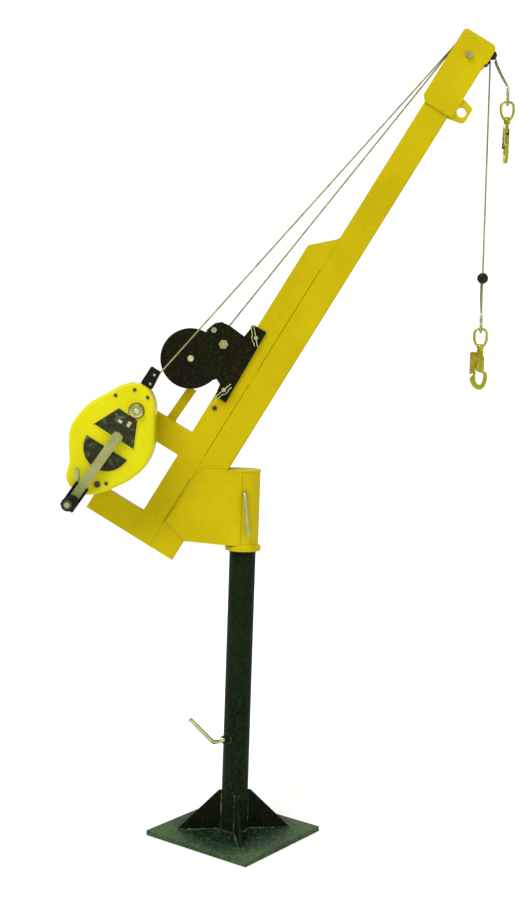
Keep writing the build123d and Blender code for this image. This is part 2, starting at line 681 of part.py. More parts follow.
# --------------------------------------------------------------- the winch
wc, wd = WINCH_C, WINCH_DRIVE_C
SPACER_C = (1213.5, 818.0)
with BuildPart() as winch_plates:
    for y in (-BOOM_W / 2, BOOM_W / 2 + PLATE6):
        with BuildSketch(along(y)):
            with Locations(wc):
                Circle(WINCH_R)
            with BuildLine():
                Polyline((1204, 836), (1232, 826), (1245, 812), (1248, 787), (1244, 735), (1286, 730),
                         (1287, 687), (1054, 680), (1056, 716), (1090, 722), (1098, 738), (1040, 790), close=True)
            make_face()
        extrude(amount=PLATE6)
    rod(along(60), wc, 8.0, 120, mode=Mode.SUBTRACT)
    rod(along(60), wd, 8.06, 120, mode=Mode.SUBTRACT)
    rod(along(60), SPACER_C, 5.0, 120, mode=Mode.SUBTRACT)
    for s in hitch_s:
        rod(along(60), (s, HITCH_T), 6.5, 120, mode=Mode.SUBTRACT)
save(winch_plates, "winch_plates")

with BuildPart() as winch_bolts:
    rod(along(50), wc, 8.0, 100)
    rod(along(40), SPACER_C, 9.0, 80)
    rod(along(50), SPACER_C, 5.0, 100)
    for y in (-46.0, 52.0):
        rod(along(y), wc, 9.5, 6)
        hexagon(along(y), SPACER_C, 15.0, 6)
save(winch_bolts, "winch_bolts")

winch_mesh = math.atan2(wd[1] - wc[1], wd[0] - wc[0])
with BuildPart() as winch_drum:
    turned(((8.06, -36.5), (20, -36.5), (20, -26.5), (72, -26.5), (72, -24), (WINCH_CORE_R - 0.3, -24),
            (WINCH_CORE_R - 0.3, 31), (72, 31), (72, 34), (8.06, 34)), winch_centre)
    gear(along(-26.5), wc, GEAR_MODULE, DRUM_TEETH, 10, winch_mesh)
    rod(along(-20), wc, 8.06, 30, mode=Mode.SUBTRACT)
save(winch_drum, "winch_drum")

with BuildPart() as drive_shaft:
    rod(along(54), wd, 8.0, 118)
    gear(along(-26.5), wd, GEAR_MODULE, PINION_TEETH, 10, winch_mesh + math.pi + math.pi / PINION_TEETH)
    rod(along(36), wd, 24.0, 9)
    hexagon(along(-46.4), wd, 24.0, 9)
save(drive_shaft, "drive_shaft")

# Hitch pins and their spring clips; each clip's leg goes through its pin.
clip_ways = (math.radians(101.9), math.radians(221.3))
CLIP_Y = -54.0
pin_centres = [xz(s, HITCH_T) for s in hitch_s]
with BuildPart() as hitch_pins:
    for centre, way in zip(pin_centres, clip_ways):
        rod(front(52), centre, 6.2, 112)
        rod(front(52), centre, 11.0, 5.5)
        start = Vector(centre[0] - 20 * math.cos(way), CLIP_Y, centre[1] - 20 * math.sin(way))
        with BuildSketch(Plane(origin=start, z_dir=(math.cos(way), 0, math.sin(way)))):
            Circle(1.9)
        extrude(amount=40, mode=Mode.SUBTRACT)
save(hitch_pins, "hitch_pins")


def spring_clip(centre, way):
    """Bent wire clip: a straight leg through the pin and a waved outer leg."""
    c, s = math.cos(way), math.sin(way)
    shape = ((-26, 0), (35, 0), (39.5, 4.1), (35, 8.2), (11, 8.2), (6, 11.5), (-6, 11.5), (-11, 8.2), (-22, 8.6))
    points = [Vector(centre[0] + a * c - b * s, CLIP_Y, centre[1] + a * s + b * c) for a, b in shape]
    with BuildLine() as bends:
        FilletPolyline(*points, radius=2.2)
    with BuildSketch(Plane(origin=points[0], z_dir=points[1] - points[0])) as wire:
        Circle(1.6)
    sweep(wire.sketch, path=bends.line)


with BuildPart() as clip_upper:
    spring_clip(pin_centres[0], clip_ways[0])
save(clip_upper, "clip_upper")

with BuildPart() as clip_lower:
    spring_clip(pin_centres[1], clip_ways[1])
save(clip_lower, "clip_lower")


# ---------------------------------------------------- rope ends and hooks
def place(part, x, y, z, turn=0.0):
    return part.moved(Location((x, y, z), (0, 0, turn)))


def hook_bail():
    """Swivel bail with the rope's loop and ferrule, origin at the bail's top."""
    with BuildPart() as piece:
        with BuildSketch(Plane.XY.offset(15)):
            Circle(5.2)
        extrude(amount=25)
        with BuildSketch(Plane(origin=(0, 14.5, 2), x_dir=(0, 1, 0), z_dir=(0, 0, 1))):
            Circle(ROPE_D / 2)
        revolve(axis=Axis((0, 0, 2), (1, 0, 0)))
        with BuildSketch(front(5.0)):
            with BuildLine():
                Polyline((-11, 0), (11, 0), (19, -9), (19.5, -26), (11, -52), (-11, -52), (-19.5, -26), (-19, -9),
                         close=True)
            make_face()
            fillet(vertices(), 4)
            with BuildLine():
                Polyline((-8, -9), (8, -9), (12, -14), (12, -27), (8.5, -50), (-8.5, -50), (-12, -27), (-12, -14),
                         close=True)
            make_face(mode=Mode.SUBTRACT)
        extrude(amount=10)
        with BuildSketch(Plane.XY.offset(-66)):
            Circle(9.5)
        extrude(amount=16)
        with BuildSketch(Plane.XY.offset(-67)):
            Circle(4.6)
        extrude(amount=18, mode=Mode.SUBTRACT)
    return piece.part


GATE_PIVOT = (1.0, -87.0)
LOCK_PIVOT = (-14.0, -92.0)


def hook_body():
    with BuildPart() as piece:
        with BuildSketch(front(4.5)):
            with BuildLine():
                Polyline((-9, -66.4), (-14, -78), (-18.5, -96), (-18.5, -137), (-26, -142), (-27, -154), (-19, -170),
                         (-6, -179), (6, -179), (17, -168), (22, -152), (22, -134), (18, -126), (13, -126), (12.2, -134),
                         (11, -152), (5, -164), (-5, -164), (-11.5, -152), (-11.5, -106), (-6, -97.5), (4, -95.5),
                         (7.5, -90), (8.5, -78), (9, -66.4), close=True)
            make_face()
            with Locations(GATE_PIVOT):
                Circle(2.27, mode=Mode.SUBTRACT)
            with Locations(LOCK_PIVOT):
                Circle(2.07, mode=Mode.SUBTRACT)
        extrude(amount=9)
        with BuildSketch(Plane.XY.offset(-66.6)):
            Circle(4.53)
        extrude(amount=17)
        with BuildSketch(Plane.XY.offset(-49.8)):
            Circle(7.2)
        extrude(amount=4)
    return piece.part


def hook_gate():
    with BuildPart() as piece:
        for y in (6.0, -4.8):
            slab(((-4, -81), (9, -81), (12, -86), (12, -133), (8, -131), (-7.5, -126), (-10.5, -116), (-10.5, -105),
                  (-7, -96)), front(y), 1.2)
        slab(((8.9, -99.5), (11.8, -99.5), (11.8, -133), (8.9, -131)), front(6.0), 12.0)
        rod(front(6.7), GATE_PIVOT, 2.2, 13.4)
    return piece.part


def hook_lock():
    with BuildPart() as piece:
        for y in (7.7, -6.4):
            slab(((-9, -71), (-9, -96), (-22, -134), (-28, -134), (-28, -74), (-24, -69.5)), front(y), 1.3)
        slab(((-24.5, -76), (-28, -76), (-28, -134), (-24.5, -134)), front(7.7), 15.4)
        rod(front(8.2), LOCK_PIVOT, 2.0, 16.4)
    return piece.part


HOOKS = (("hoist", HOOK_X, Y_HOIST, HOOK_TOP_Z, 0.0), ("retrieve", HOOK2_TOP[0], Y_RETRIEVE, HOOK2_TOP[1], -90.0))
for tag, x, y, z, turn in HOOKS:
    save_part(place(hook_bail(), x, y, z), f"{tag}_bail")
    save_part(place(hook_body(), x, y, z, turn), f"{tag}_hook")
    save_part(place(hook_gate(), x, y, z, turn), f"{tag}_gate")
    save_part(place(hook_lock(), x, y, z, turn), f"{tag}_lock")

# The hanging rope runs straight from the exit bar through the ball to its ferrule.
DROP_TOP = EXIT_C[1]
DROP_END = HOOK_TOP_Z + 40.0
with BuildPart() as hoist_drop:
    with BuildSketch(Plane(origin=(HOOK_X, Y_HOIST, DROP_END), z_dir=(0, 0, 1))):
        Circle(ROPE_D / 2)
    extrude(amount=DROP_TOP - DROP_END)
save(hoist_drop, "hoist_drop")
drop_len = DROP_TOP - DROP_END
print(f"hoist_drop length {drop_len:.1f} mm, straight, no bends;"
      f" volume ratio {hoist_drop.part.volume / (math.pi * ROPE_D ** 2 / 4 * drop_len):.4f}")

HOIST_BALL_Z = 1637.0
with BuildPart() as hoist_ball:
    with Locations((HOOK_X, Y_HOIST, HOIST_BALL_Z)):
        Sphere(BALL_R)
    with BuildSketch(Plane(origin=(HOOK_X, Y_HOIST, HOIST_BALL_Z - 20), z_dir=(0, 0, 1))):
        Circle(ROPE_D / 2 + 0.1)
    extrude(amount=40, mode=Mode.SUBTRACT)
save(hoist_ball, "hoist_ball")

# The short stiff end of the retractable rope, from its ball to its ferrule.
end_route = (lift((680.0, 2268.0), Y_RETRIEVE), lift((686.0, 2250.0), Y_RETRIEVE), lift((702.0, 2219.0), Y_RETRIEVE),
             lift((HOOK2_TOP[0], HOOK2_TOP[1] + 41.1), Y_RETRIEVE))
end_radii = bend_radii(end_route)
with BuildPart() as retrieve_end:
    with BuildLine() as end_line:
        FilletPolyline(*end_route, radius=end_radii)
    with BuildSketch(Plane(origin=end_route[0], z_dir=end_route[1] - end_route[0])):
        Circle(ROPE_D / 2)
    sweep()
save(retrieve_end, "retrieve_end")
end_len = sum(e.length for e in end_line.edges())
print("retrieve_end radii", [round(r, 1) for r in end_radii], f"length {end_len:.1f} mm;"
      f" volume ratio {retrieve_end.part.volume / (math.pi * ROPE_D ** 2 / 4 * end_len):.4f}")

with BuildPart() as retrieve_ball:
    with Locations(lift(BALL2, Y_RETRIEVE)):
        Sphere(14.0)
    with BuildSketch(Plane(origin=end_route[0], z_dir=end_route[1] - end_route[0])):
        Circle(ROPE_D / 2)
    extrude(amount=20, mode=Mode.SUBTRACT)
    with BuildSketch(Plane(origin=lift(BALL2, Y_RETRIEVE), z_dir=lift(ret_c, Y_RETRIEVE) - lift(BALL2, Y_RETRIEVE))):
        Circle(ROPE_D / 2)
    extrude(amount=20, mode=Mode.SUBTRACT)
save(retrieve_ball, "retrieve_ball")
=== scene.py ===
"""Looks for the davit hoist: camera, light, materials, ropes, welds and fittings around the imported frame."""
import math

import bmesh
import bpy
from mathutils import Matrix, Vector, noise


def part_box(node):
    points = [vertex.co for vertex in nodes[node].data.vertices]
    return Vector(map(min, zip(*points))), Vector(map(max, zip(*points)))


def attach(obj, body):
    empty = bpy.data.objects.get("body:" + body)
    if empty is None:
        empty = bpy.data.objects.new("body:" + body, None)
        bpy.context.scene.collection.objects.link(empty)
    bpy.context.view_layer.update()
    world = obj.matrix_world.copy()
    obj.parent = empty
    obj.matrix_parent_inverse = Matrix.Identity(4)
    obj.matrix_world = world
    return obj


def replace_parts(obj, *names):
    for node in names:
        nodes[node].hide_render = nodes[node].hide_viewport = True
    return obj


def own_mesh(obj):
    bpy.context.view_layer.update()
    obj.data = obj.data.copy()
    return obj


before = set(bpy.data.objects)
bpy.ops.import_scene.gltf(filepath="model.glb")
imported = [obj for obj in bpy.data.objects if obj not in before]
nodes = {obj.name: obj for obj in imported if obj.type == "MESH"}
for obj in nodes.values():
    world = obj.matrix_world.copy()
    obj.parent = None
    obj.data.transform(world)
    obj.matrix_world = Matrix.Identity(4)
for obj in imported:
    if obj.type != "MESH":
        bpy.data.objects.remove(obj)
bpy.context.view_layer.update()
scene = bpy.context.scene

MM = 0.001
C60 = math.cos(math.radians(60.0))
S60 = math.sin(math.radians(60.0))
UNIT_S0, UNIT_T0 = 790.0, 893.0     # the retractable unit's own origin, on the boom
FRONT = (0, -1, 0)
UP = (0, 0, 1)


def at(x, y, z):
    """A point from millimetres."""
    return Vector((x, y, z)) * MM


def boom_xz(s, t):
    """X and Z in millimetres of a place on the boom: s up along it, t across it."""
    return s * C60 - t * S60, s * S60 + t * C60


def st(s, t, y):
    """A point from the boom's own coordinates."""
    x, z = boom_xz(s, t)
    return at(x, y, z)


def uv(u, w, y):
    """A point from the retractable unit's coordinates."""
    return st(UNIT_S0 + u, UNIT_T0 + w, y)


def turns(count):
    """Angles of one full turn in equal steps."""
    return [2 * math.pi * n / count for n in range(count)]


def around(centre, axis, radius, sides):
    """Points on a circle about an axis, with the radius in millimetres."""
    axis = Vector(axis).normalized()
    a = axis.orthogonal().normalized()
    b = axis.cross(a)
    return [centre + (a * math.cos(k) + b * math.sin(k)) * (radius * MM) for k in turns(sides)]


# ---------------------------------------------------------------- the camera
def make_camera():
    pitch, roll = math.radians(0.80), math.radians(1.88)
    ahead = Vector((0, math.cos(pitch), -math.sin(pitch)))
    level = Vector((1, 0, 0))
    up = level.cross(ahead)
    right = level * math.cos(roll) + up * math.sin(roll)
    top = up * math.cos(roll) - level * math.sin(roll)
    data = bpy.data.cameras.new("camera")
    data.sensor_width = 36.0
    data.lens = 51.52
    data.shift_y = -0.085
    data.clip_end = 200.0
    camera = bpy.data.objects.new("camera", data)
    scene.collection.objects.link(camera)
    place = (0.051, -3.734, 1.392)
    rows = [(right[i], top[i], -ahead[i], place[i]) for i in range(3)]
    camera.matrix_world = Matrix(rows + [(0, 0, 0, 1)])
    scene.camera = camera


make_camera()


# ------------------------------------------------------------ lines and tubes
def new_spline(name, route, steps):
    """A curve with one NURBS spline that has the route as its control points."""
    curve = bpy.data.curves.new(name, "CURVE")
    curve.dimensions = "3D"
    curve.resolution_u = steps
    spline = curve.splines.new("NURBS")
    spline.points.add(len(route) - 1)
    for point, place in zip(spline.points, route):
        point.co = (*place, 1.0)
    return curve, spline


def line_of(curve):
    """The points that Blender gives along the curve, which is removed."""
    holder = bpy.data.objects.new(curve.name, curve)
    scene.collection.objects.link(holder)
    bpy.context.view_layer.update()
    mesh = bpy.data.meshes.new_from_object(holder)
    line = [v.co.copy() for v in mesh.vertices]
    bpy.data.objects.remove(holder)
    bpy.data.curves.remove(curve)
    bpy.data.meshes.remove(mesh)
    return line


def spline_line(name, route):
    """Points along the smooth NURBS line through a rope's route."""
    curve, spline = new_spline(name, route, 24)
    spline.order_u = 3
    spline.use_endpoint_u = True
    return line_of(curve)


def even(line, step):
    """The same line with its points one step apart, or as near to that as fits its length."""
    runs = [(b - a).length for a, b in zip(line, line[1:])]
    total = sum(runs)
    count = max(2, round(total / step))
    out, i, done = [], 0, 0.0
    for k in range(count + 1):
        goal = total * k / count
        while i < len(runs) - 1 and done + runs[i] < goal:
            done += runs[i]
            i += 1
        share = min(1.0, (goal - done) / runs[i]) if runs[i] > 0 else 0.0
        out.append(line[i].lerp(line[i + 1], share))
    return out


def carried(line, side=None):
    """Direction and two side vectors at each point, carried along without twist."""
    out = []
    for i in range(len(line)):
        ahead = (line[min(i + 1, len(line) - 1)] - line[max(i - 1, 0)]).normalized()
        if side is None:
            side = ahead.orthogonal()
        side = (side - ahead * side.dot(ahead)).normalized()
        out.append((ahead, side, ahead.cross(side)))
    return out


def tube(bm, line, radius, sides=8, side=None, closed=False):
    """A round bar along the line; radius is a number or a function of the point's place in it."""
    rings = []
    for i, (p, (_, a, b)) in enumerate(zip(line, carried(line, side))):
        r = radius(i, p) if callable(radius) else radius
        rings.append([bm.verts.new(p + a * (r * math.cos(k)) + b * (r * math.sin(k)))
                      for k in turns(sides)])
    pairs = list(zip(rings, rings[1:])) + ([(rings[-1], rings[0])] if closed else [])
    for low, high in pairs:
        for k in range(sides):
            bm.faces.new((low[k], low[(k + 1) % sides], high[(k + 1) % sides], high[k]))
    if not closed:
        bm.faces.new(rings[0])
        bm.faces.new(rings[-1])


def wire_rope(bm, line, diameter, lay, sides=6):
    """Six outer strands around one core, each going round it once in every lay."""
    line = even(line, lay / 10)
    marks = carried(line)
    ring = diameter / 3
    for n in range(6):
        run, wound = 0.0, []
        for i, (p, (_, a, b)) in enumerate(zip(line, marks)):
            run += (p - line[i - 1]).length if i else 0.0
            turn = 2 * math.pi * (n / 6 + run / lay)
            wound.append(p + a * (ring * math.cos(turn)) + b * (ring * math.sin(turn)))
        tube(bm, wound, diameter / 6, sides)
    tube(bm, line, diameter / 5.2, sides)


def turned(bm, profile, centre, axis, sides):
    """A solid turned from (radius, height) pairs in millimetres about the axis through centre."""
    axis = Vector(axis).normalized()
    rings = []
    for radius, height in profile:
        middle = centre + axis * (height * MM)
        points = [middle] if radius <= 0 else around(middle, axis, radius, sides)
        rings.append([bm.verts.new(p) for p in points])
    for low, high in zip(rings, rings[1:]):
        for k in range(sides):
            j = (k + 1) % sides
            corners = [low[k % len(low)], low[j % len(low)], high[j % len(high)], high[k % len(high)]]
            bm.faces.new(list(dict.fromkeys(corners)))
    for ring in (rings[0], rings[-1]):
        if len(ring) > 1:
            bm.faces.new(ring)


def ring_of(bm, profile, centre, axis, sides):
    """As turned, for a ring whose profile comes back to its start."""
    axis = Vector(axis).normalized()
    rings = [[bm.verts.new(p) for p in around(centre + axis * (height * MM), axis, radius, sides)]
             for radius, height in profile]
    for low, high in zip(rings, rings[1:] + rings[:1]):
        for k in range(sides):
            bm.faces.new((low[k], low[(k + 1) % sides], high[(k + 1) % sides], high[k]))


def nodes_centre(name, y):
    """The point at y on the line along Y through the middle of a node's box."""
    low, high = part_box(name)
    return Vector(((low[0] + high[0]) / 2, y * MM, (low[2] + high[2]) / 2))


def plate(bm, outline, thick, edge):
    """A flat plate from a flat outline of points, thick measured towards +Y, with broken edges."""
    back = [bm.verts.new(p + Vector((0, thick * MM, 0))) for p in outline]
    face = [bm.verts.new(p) for p in outline]
    made = [bm.faces.new(face), bm.faces.new(back)]
    for k in range(len(outline)):
        j = (k + 1) % len(outline)
        made.append(bm.faces.new((face[k], face[j], back[j], back[k])))
    edges = list({e for f in made for e in f.edges})
    bmesh.ops.bevel(bm, geom=edges, offset=edge * MM, segments=2, affect="EDGES", profile=0.5)


SHARP = 38.0     # degrees; a sharper fold is an edge, not part of a smooth surface


def piece(name, bm, body, mat, sharp=SHARP):
    """Make the object, ride it on its body and give it its finish."""
    bmesh.ops.recalc_face_normals(bm, faces=bm.faces)
    for face in bm.faces:
        face.smooth = True
    for edge in bm.edges:
        if len(edge.link_faces) == 2 and edge.calc_face_angle(0.0) > math.radians(sharp):
            edge.smooth = False
    mesh = bpy.data.meshes.new(name)
    bm.to_mesh(mesh)
    bm.free()
    mesh.materials.append(mat)
    obj = bpy.data.objects.new(name, mesh)
    scene.collection.objects.link(obj)
    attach(obj, body)
    return obj


# ----------------------------------------------------------------- materials
MIX_A, MIX_B, MIX_OUT = 6, 7, 2     # the colour sockets of a Mix node, which share their names with others


class Shader:
    """A material's node tree, with short calls for the nodes used here."""

    def __init__(self, name, **fixed):
        self.mat = bpy.data.materials.new(name)
        self.mat.use_nodes = True
        self.tree = self.mat.node_tree
        self.tree.nodes.clear()
        self.bsdf = self.tree.nodes.new("ShaderNodeBsdfPrincipled")
        out = self.tree.nodes.new("ShaderNodeOutputMaterial")
        self.link(self.bsdf.outputs["BSDF"], out.inputs["Surface"])
        self.place = self.tree.nodes.new("ShaderNodeTexCoord").outputs["Object"]
        for socket, value in fixed.items():
            self.bsdf.inputs[socket.replace("_", " ")].default_value = value

    def link(self, a, b):
        self.tree.links.new(a, b)

    def feed(self, socket, value):
        """Link the value if it comes from a node, and set it if it is a plain number or colour."""
        if hasattr(value, "is_output"):
            self.link(value, socket)
        else:
            socket.default_value = value

    def stretched(self, scale, turn=(0, 0, 0)):
        """The place, turned and then scaled, for streaks along one direction."""
        turned_place = self.tree.nodes.new("ShaderNodeMapping")
        turned_place.vector_type = "TEXTURE"
        turned_place.inputs["Rotation"].default_value = [math.radians(a) for a in turn]
        turned_place.inputs["Scale"].default_value = [1 / k for k in scale]
        self.link(self.place, turned_place.inputs["Vector"])
        return turned_place.outputs["Vector"]

    def noise(self, scale, detail=4.0, rough=0.55, place=None, bend=0.0):
        node = self.tree.nodes.new("ShaderNodeTexNoise")
        self.link(place or self.place, node.inputs["Vector"])
        values = {"Scale": scale, "Detail": detail, "Roughness": rough, "Distortion": bend}
        for socket, value in values.items():
            node.inputs[socket].default_value = value
        return node.outputs["Fac"]

    def cells(self, scale):
        node = self.tree.nodes.new("ShaderNodeTexVoronoi")
        node.inputs["Scale"].default_value = scale
        self.link(self.place, node.inputs["Vector"])
        return node.outputs["Distance"]

    def ramp(self, factor, *stops):
        node = self.tree.nodes.new("ShaderNodeValToRGB")
        items = node.color_ramp.elements
        while len(items) < len(stops):
            items.new(0.5)
        for item, (place, value) in zip(items, stops):
            item.position = place
            item.color = (*value, 1.0) if hasattr(value, "__len__") else (value, value, value, 1.0)
        self.link(factor, node.inputs["Fac"])
        return node.outputs["Color"]

    def mix(self, factor, a, b):
        """Colour a, and colour b where the factor is 1."""
        node = self.tree.nodes.new("ShaderNodeMix")
        node.data_type = "RGBA"
        for socket, value in (("Factor", factor), (MIX_A, a), (MIX_B, b)):
            self.feed(node.inputs[socket], (*value, 1.0) if isinstance(value, tuple) else value)
        return node.outputs[MIX_OUT]

    def sum(self, a, b, way="ADD"):
        node = self.tree.nodes.new("ShaderNodeMath")
        node.operation = way
        self.feed(node.inputs[0], a)
        self.feed(node.inputs[1], b)
        return node.outputs[0]

    def bump(self, height, strength, depth, under=None):
        node = self.tree.nodes.new("ShaderNodeBump")
        node.inputs["Strength"].default_value = strength
        node.inputs["Distance"].default_value = depth
        self.link(height, node.inputs["Height"])
        if under is not None:
            self.link(under, node.inputs["Normal"])
        return node.outputs["Normal"]

    def done(self, colour, rough, normal):
        self.link(colour, self.bsdf.inputs["Base Color"])
        self.link(rough, self.bsdf.inputs["Roughness"])
        self.link(normal, self.bsdf.inputs["Normal"])
        return self.mat


def paint(name, dark, light, patch, speck, grime, rough, gloss, specks, turn=0.0, peel=0.25, motley=0.0):
    """Brushed-on enamel over steel: uneven coat, small specks, dirt and a slight orange peel."""
    s = Shader(name, Specular_IOR_Level=gloss)
    body = s.mix(s.ramp(s.noise(4.0, 3.0), (0.35, 0.0), (0.65, 1.0)), dark, light)
    mottle = s.noise(38.0, 6.0, 0.62)
    body = s.mix(s.ramp(mottle, (0.52, 0.0), (0.74, 0.55)), body, patch)
    streak = s.noise(9.0, 5.0, 0.6, s.stretched((7.0, 7.0, 0.6), (0, turn, 0)))
    body = s.mix(s.ramp(streak, (0.50, 0.0), (0.78, 0.22)), body, grime)
    dirt = s.noise(140.0, 8.0, 0.72)
    body = s.mix(s.ramp(dirt, (0.60, 0.0), (0.72, specks)), body, speck)
    dots = s.ramp(s.cells(210.0), (0.05, 1.0), (0.13, 0.0))
    dots = s.sum(dots, s.ramp(s.noise(21.0, 2.0), (0.55, 0.0), (0.63, 1.0)), "MULTIPLY")
    body = s.mix(s.sum(dots, specks, "MULTIPLY"), body, speck)
    if motley:
        green = s.noise(105.0, 5.0, 0.7, s.stretched((1, 1, 1), (30, 10, 50)))
        body = s.mix(s.ramp(green, (0.52, 0.0), (0.60, motley)), body, grime)
        brown = s.noise(95.0, 5.0, 0.7, s.stretched((1, 1, 1), (70, 40, 20)))
        body = s.mix(s.ramp(brown, (0.53, 0.0), (0.61, motley)), body, patch)
    coat = s.ramp(mottle, (0.3, rough[0]), (0.75, rough[1]))
    fine = s.bump(s.noise(520.0, 2.0, 0.5), peel, 0.0004)
    return s.done(body, coat, s.bump(s.noise(60.0, 3.0), 0.15, 0.0012, fine))


def metal(name, dark, light, stain, rough, stains=0.35, grain=(1, 1, 1), turn=0.0, shine=1.0, scale=1.0):
    """Plated steel: cloudy plating, fine directional scratches and a little stain."""
    s = Shader(name, Metallic=shine, Specular_IOR_Level=0.5)
    body = s.mix(s.ramp(s.noise(22.0 * scale, 4.0), (0.38, 0.0), (0.66, 1.0)), dark, light)
    cloud = s.noise(95.0 * scale, 6.0, 0.65)
    body = s.mix(s.ramp(cloud, (0.55, 0.0), (0.72, stains)), body, stain)
    scratch = s.noise(60.0 * scale, 3.0, 0.6, s.stretched(grain, (0, turn, 0)))
    body = s.mix(s.ramp(scratch, (0.42, 0.18), (0.50, 0.0)), body, stain)
    coat = s.ramp(s.sum(s.sum(cloud, scratch), 0.5, "MULTIPLY"), (0.36, rough[0]), (0.64, rough[1]))
    return s.done(body, coat, s.bump(scratch, 0.18, 0.0003, s.bump(cloud, 0.12, 0.0005)))


def moulded(name, dark, light, rub, rough, gloss=0.45, rubs=0.3, grain=700.0, depth=0.12):
    """Moulded plastic or rubber: soft tone changes, handling marks and a moulded grain."""
    s = Shader(name, Specular_IOR_Level=gloss)
    body = s.mix(s.ramp(s.noise(9.0, 3.0), (0.36, 0.0), (0.66, 1.0)), dark, light)
    marks = s.noise(70.0, 6.0, 0.66)
    body = s.mix(s.ramp(marks, (0.58, 0.0), (0.78, rubs)), body, rub)
    coat = s.ramp(marks, (0.35, rough[0]), (0.70, rough[1]))
    fine = s.noise(grain, 2.0, 0.5)
    return s.done(body, coat, s.bump(fine, depth, 0.0004, s.bump(s.noise(34.0, 2.0), 0.08, 0.001)))


YELLOW = dict(dark=(0.415, 0.328, 0.0005), light=(0.485, 0.393, 0.0006), patch=(0.52, 0.39, 0.0006),
              speck=(0.20, 0.165, 0.001), grime=(0.33, 0.28, 0.001), gloss=0.06, rough=(0.50, 0.66))
frame_paint = paint("frame_paint", **YELLOW, turn=-30.0, specks=0.30)
sleeve_paint = paint("sleeve_paint", **YELLOW, turn=0.0, specks=0.30)
arm_paint = paint("arm_paint", **YELLOW, turn=60.0, specks=0.35)
# Painted highlight: the weld paint is a lighter yellow than the frame paint, so the beads read as lit.
weld_highlight_paint = paint("weld_highlight_paint", dark=(0.46, 0.38, 0.0006), light=(0.56, 0.475, 0.001),
                   patch=(0.60, 0.50, 0.002), speck=(0.25, 0.19, 0.002), grime=(0.38, 0.32, 0.001),
                   rough=(0.28, 0.42), specks=0.35, gloss=0.2)
DARK_REST = dict(rough=(0.45, 0.62), gloss=0.04, peel=0.2)
column_paint = paint("column_paint", dark=(0.0020, 0.0050, 0.0015), light=(0.0050, 0.0130, 0.0040),
                     patch=(0.022, 0.0075, 0.0035), speck=(0.026, 0.0070, 0.0040),
                     grime=(0.0035, 0.026, 0.0060), specks=0.9, motley=0.95, **DARK_REST)
winch_paint = paint("winch_paint", dark=(0.0030, 0.0030, 0.0012), light=(0.0070, 0.0080, 0.0022),
                    patch=(0.026, 0.0050, 0.0035), speck=(0.040, 0.0070, 0.0040),
                    grime=(0.0050, 0.022, 0.0040), specks=0.9, motley=0.95, turn=-30.0, **DARK_REST)


def plate_paint():
    """The base plate's green with painted shade: dark and bluish near the column, where the column and gussets
    shade the plate, and paler towards the rim.
    """
    s = Shader("plate_paint", Specular_IOR_Level=0.06)
    flat = s.tree.nodes.new("ShaderNodeVectorMath")
    flat.operation = "MULTIPLY"
    flat.inputs[1].default_value = (1.0, 1.0, 0.0)
    s.link(s.place, flat.inputs[0])
    away = s.tree.nodes.new("ShaderNodeVectorMath")
    away.operation = "LENGTH"
    s.link(flat.outputs["Vector"], away.inputs[0])
    cloud = s.noise(13.0, 6.0, 0.66)
    # Painted shade: the green darkens closer to the column's axis, standing in for the shade between the
    # gussets.
    shade_reach = s.sum(away.outputs["Value"], s.sum(cloud, 0.11, "MULTIPLY"))
    body = s.ramp(shade_reach, (0.15, (0.0025, 0.014, 0.0065)), (0.205, (0.0075, 0.034, 0.013)),
                  (0.262, (0.048, 0.092, 0.032)))
    fleck = s.noise(130.0, 8.0, 0.75)
    body = s.mix(s.ramp(fleck, (0.49, 0.0), (0.60, 0.8)), body, (0.0040, 0.0120, 0.0050))
    pale = s.noise(105.0, 6.0, 0.7, s.stretched((1.0, 1.0, 1.0), (20, 40, 10)))
    body = s.mix(s.ramp(pale, (0.52, 0.0), (0.63, 0.75)), body, (0.070, 0.105, 0.046))
    brown = s.noise(85.0, 5.0, 0.7, s.stretched((1.0, 1.0, 1.0), (70, 10, 50)))
    body = s.mix(s.ramp(brown, (0.56, 0.0), (0.66, 0.6)), body, (0.040, 0.013, 0.0065))
    coat = s.ramp(cloud, (0.3, 0.42), (0.7, 0.62))
    return s.done(body, coat, s.bump(fleck, 0.25, 0.0006, s.bump(cloud, 0.2, 0.002)))


base_paint = plate_paint()
gusset_paint = paint("gusset_paint", dark=(0.0015, 0.0040, 0.0015), light=(0.0040, 0.0100, 0.0035),
                     patch=(0.018, 0.0065, 0.0035), speck=(0.024, 0.0080, 0.0040),
                     grime=(0.0030, 0.018, 0.0055), specks=0.8, motley=0.9, **DARK_REST)
base_weld = paint("base_weld", dark=(0.004, 0.014, 0.006), light=(0.018, 0.038, 0.018),
                  patch=(0.24, 0.25, 0.14), speck=(0.090, 0.060, 0.030), grime=(0.006, 0.020, 0.008),
                  rough=(0.35, 0.55), specks=0.5, gloss=0.1, motley=0.55)
zinc = metal("zinc", (0.40, 0.42, 0.20), (0.50, 0.52, 0.27), (0.20, 0.20, 0.07), rough=(0.26, 0.42))
bar_zinc = metal("bar_zinc", (0.34, 0.36, 0.14), (0.42, 0.44, 0.18), (0.20, 0.21, 0.06),
                 rough=(0.36, 0.55), stains=0.5, grain=(0.25, 3.0, 3.0), turn=-55.0, scale=1.4)
bright_zinc = metal("bright_zinc", (0.66, 0.66, 0.40), (0.80, 0.80, 0.52), (0.35, 0.34, 0.14),
                    rough=(0.20, 0.34), stains=0.25)
gold_zinc = metal("gold_zinc", (0.30, 0.29, 0.012), (0.46, 0.48, 0.040), (0.16, 0.20, 0.012),
                  rough=(0.22, 0.42), stains=0.6, scale=1.6, shine=0.85)
bronze_zinc = metal("bronze_zinc", (0.34, 0.21, 0.008), (0.46, 0.34, 0.020), (0.20, 0.15, 0.008),
                    rough=(0.26, 0.44), stains=0.5, scale=1.8, shine=0.85)
rope_steel = metal("rope_steel", (0.25, 0.27, 0.11), (0.36, 0.38, 0.18), (0.08, 0.09, 0.03),
                   rough=(0.46, 0.60), scale=2.0, shine=0.7)
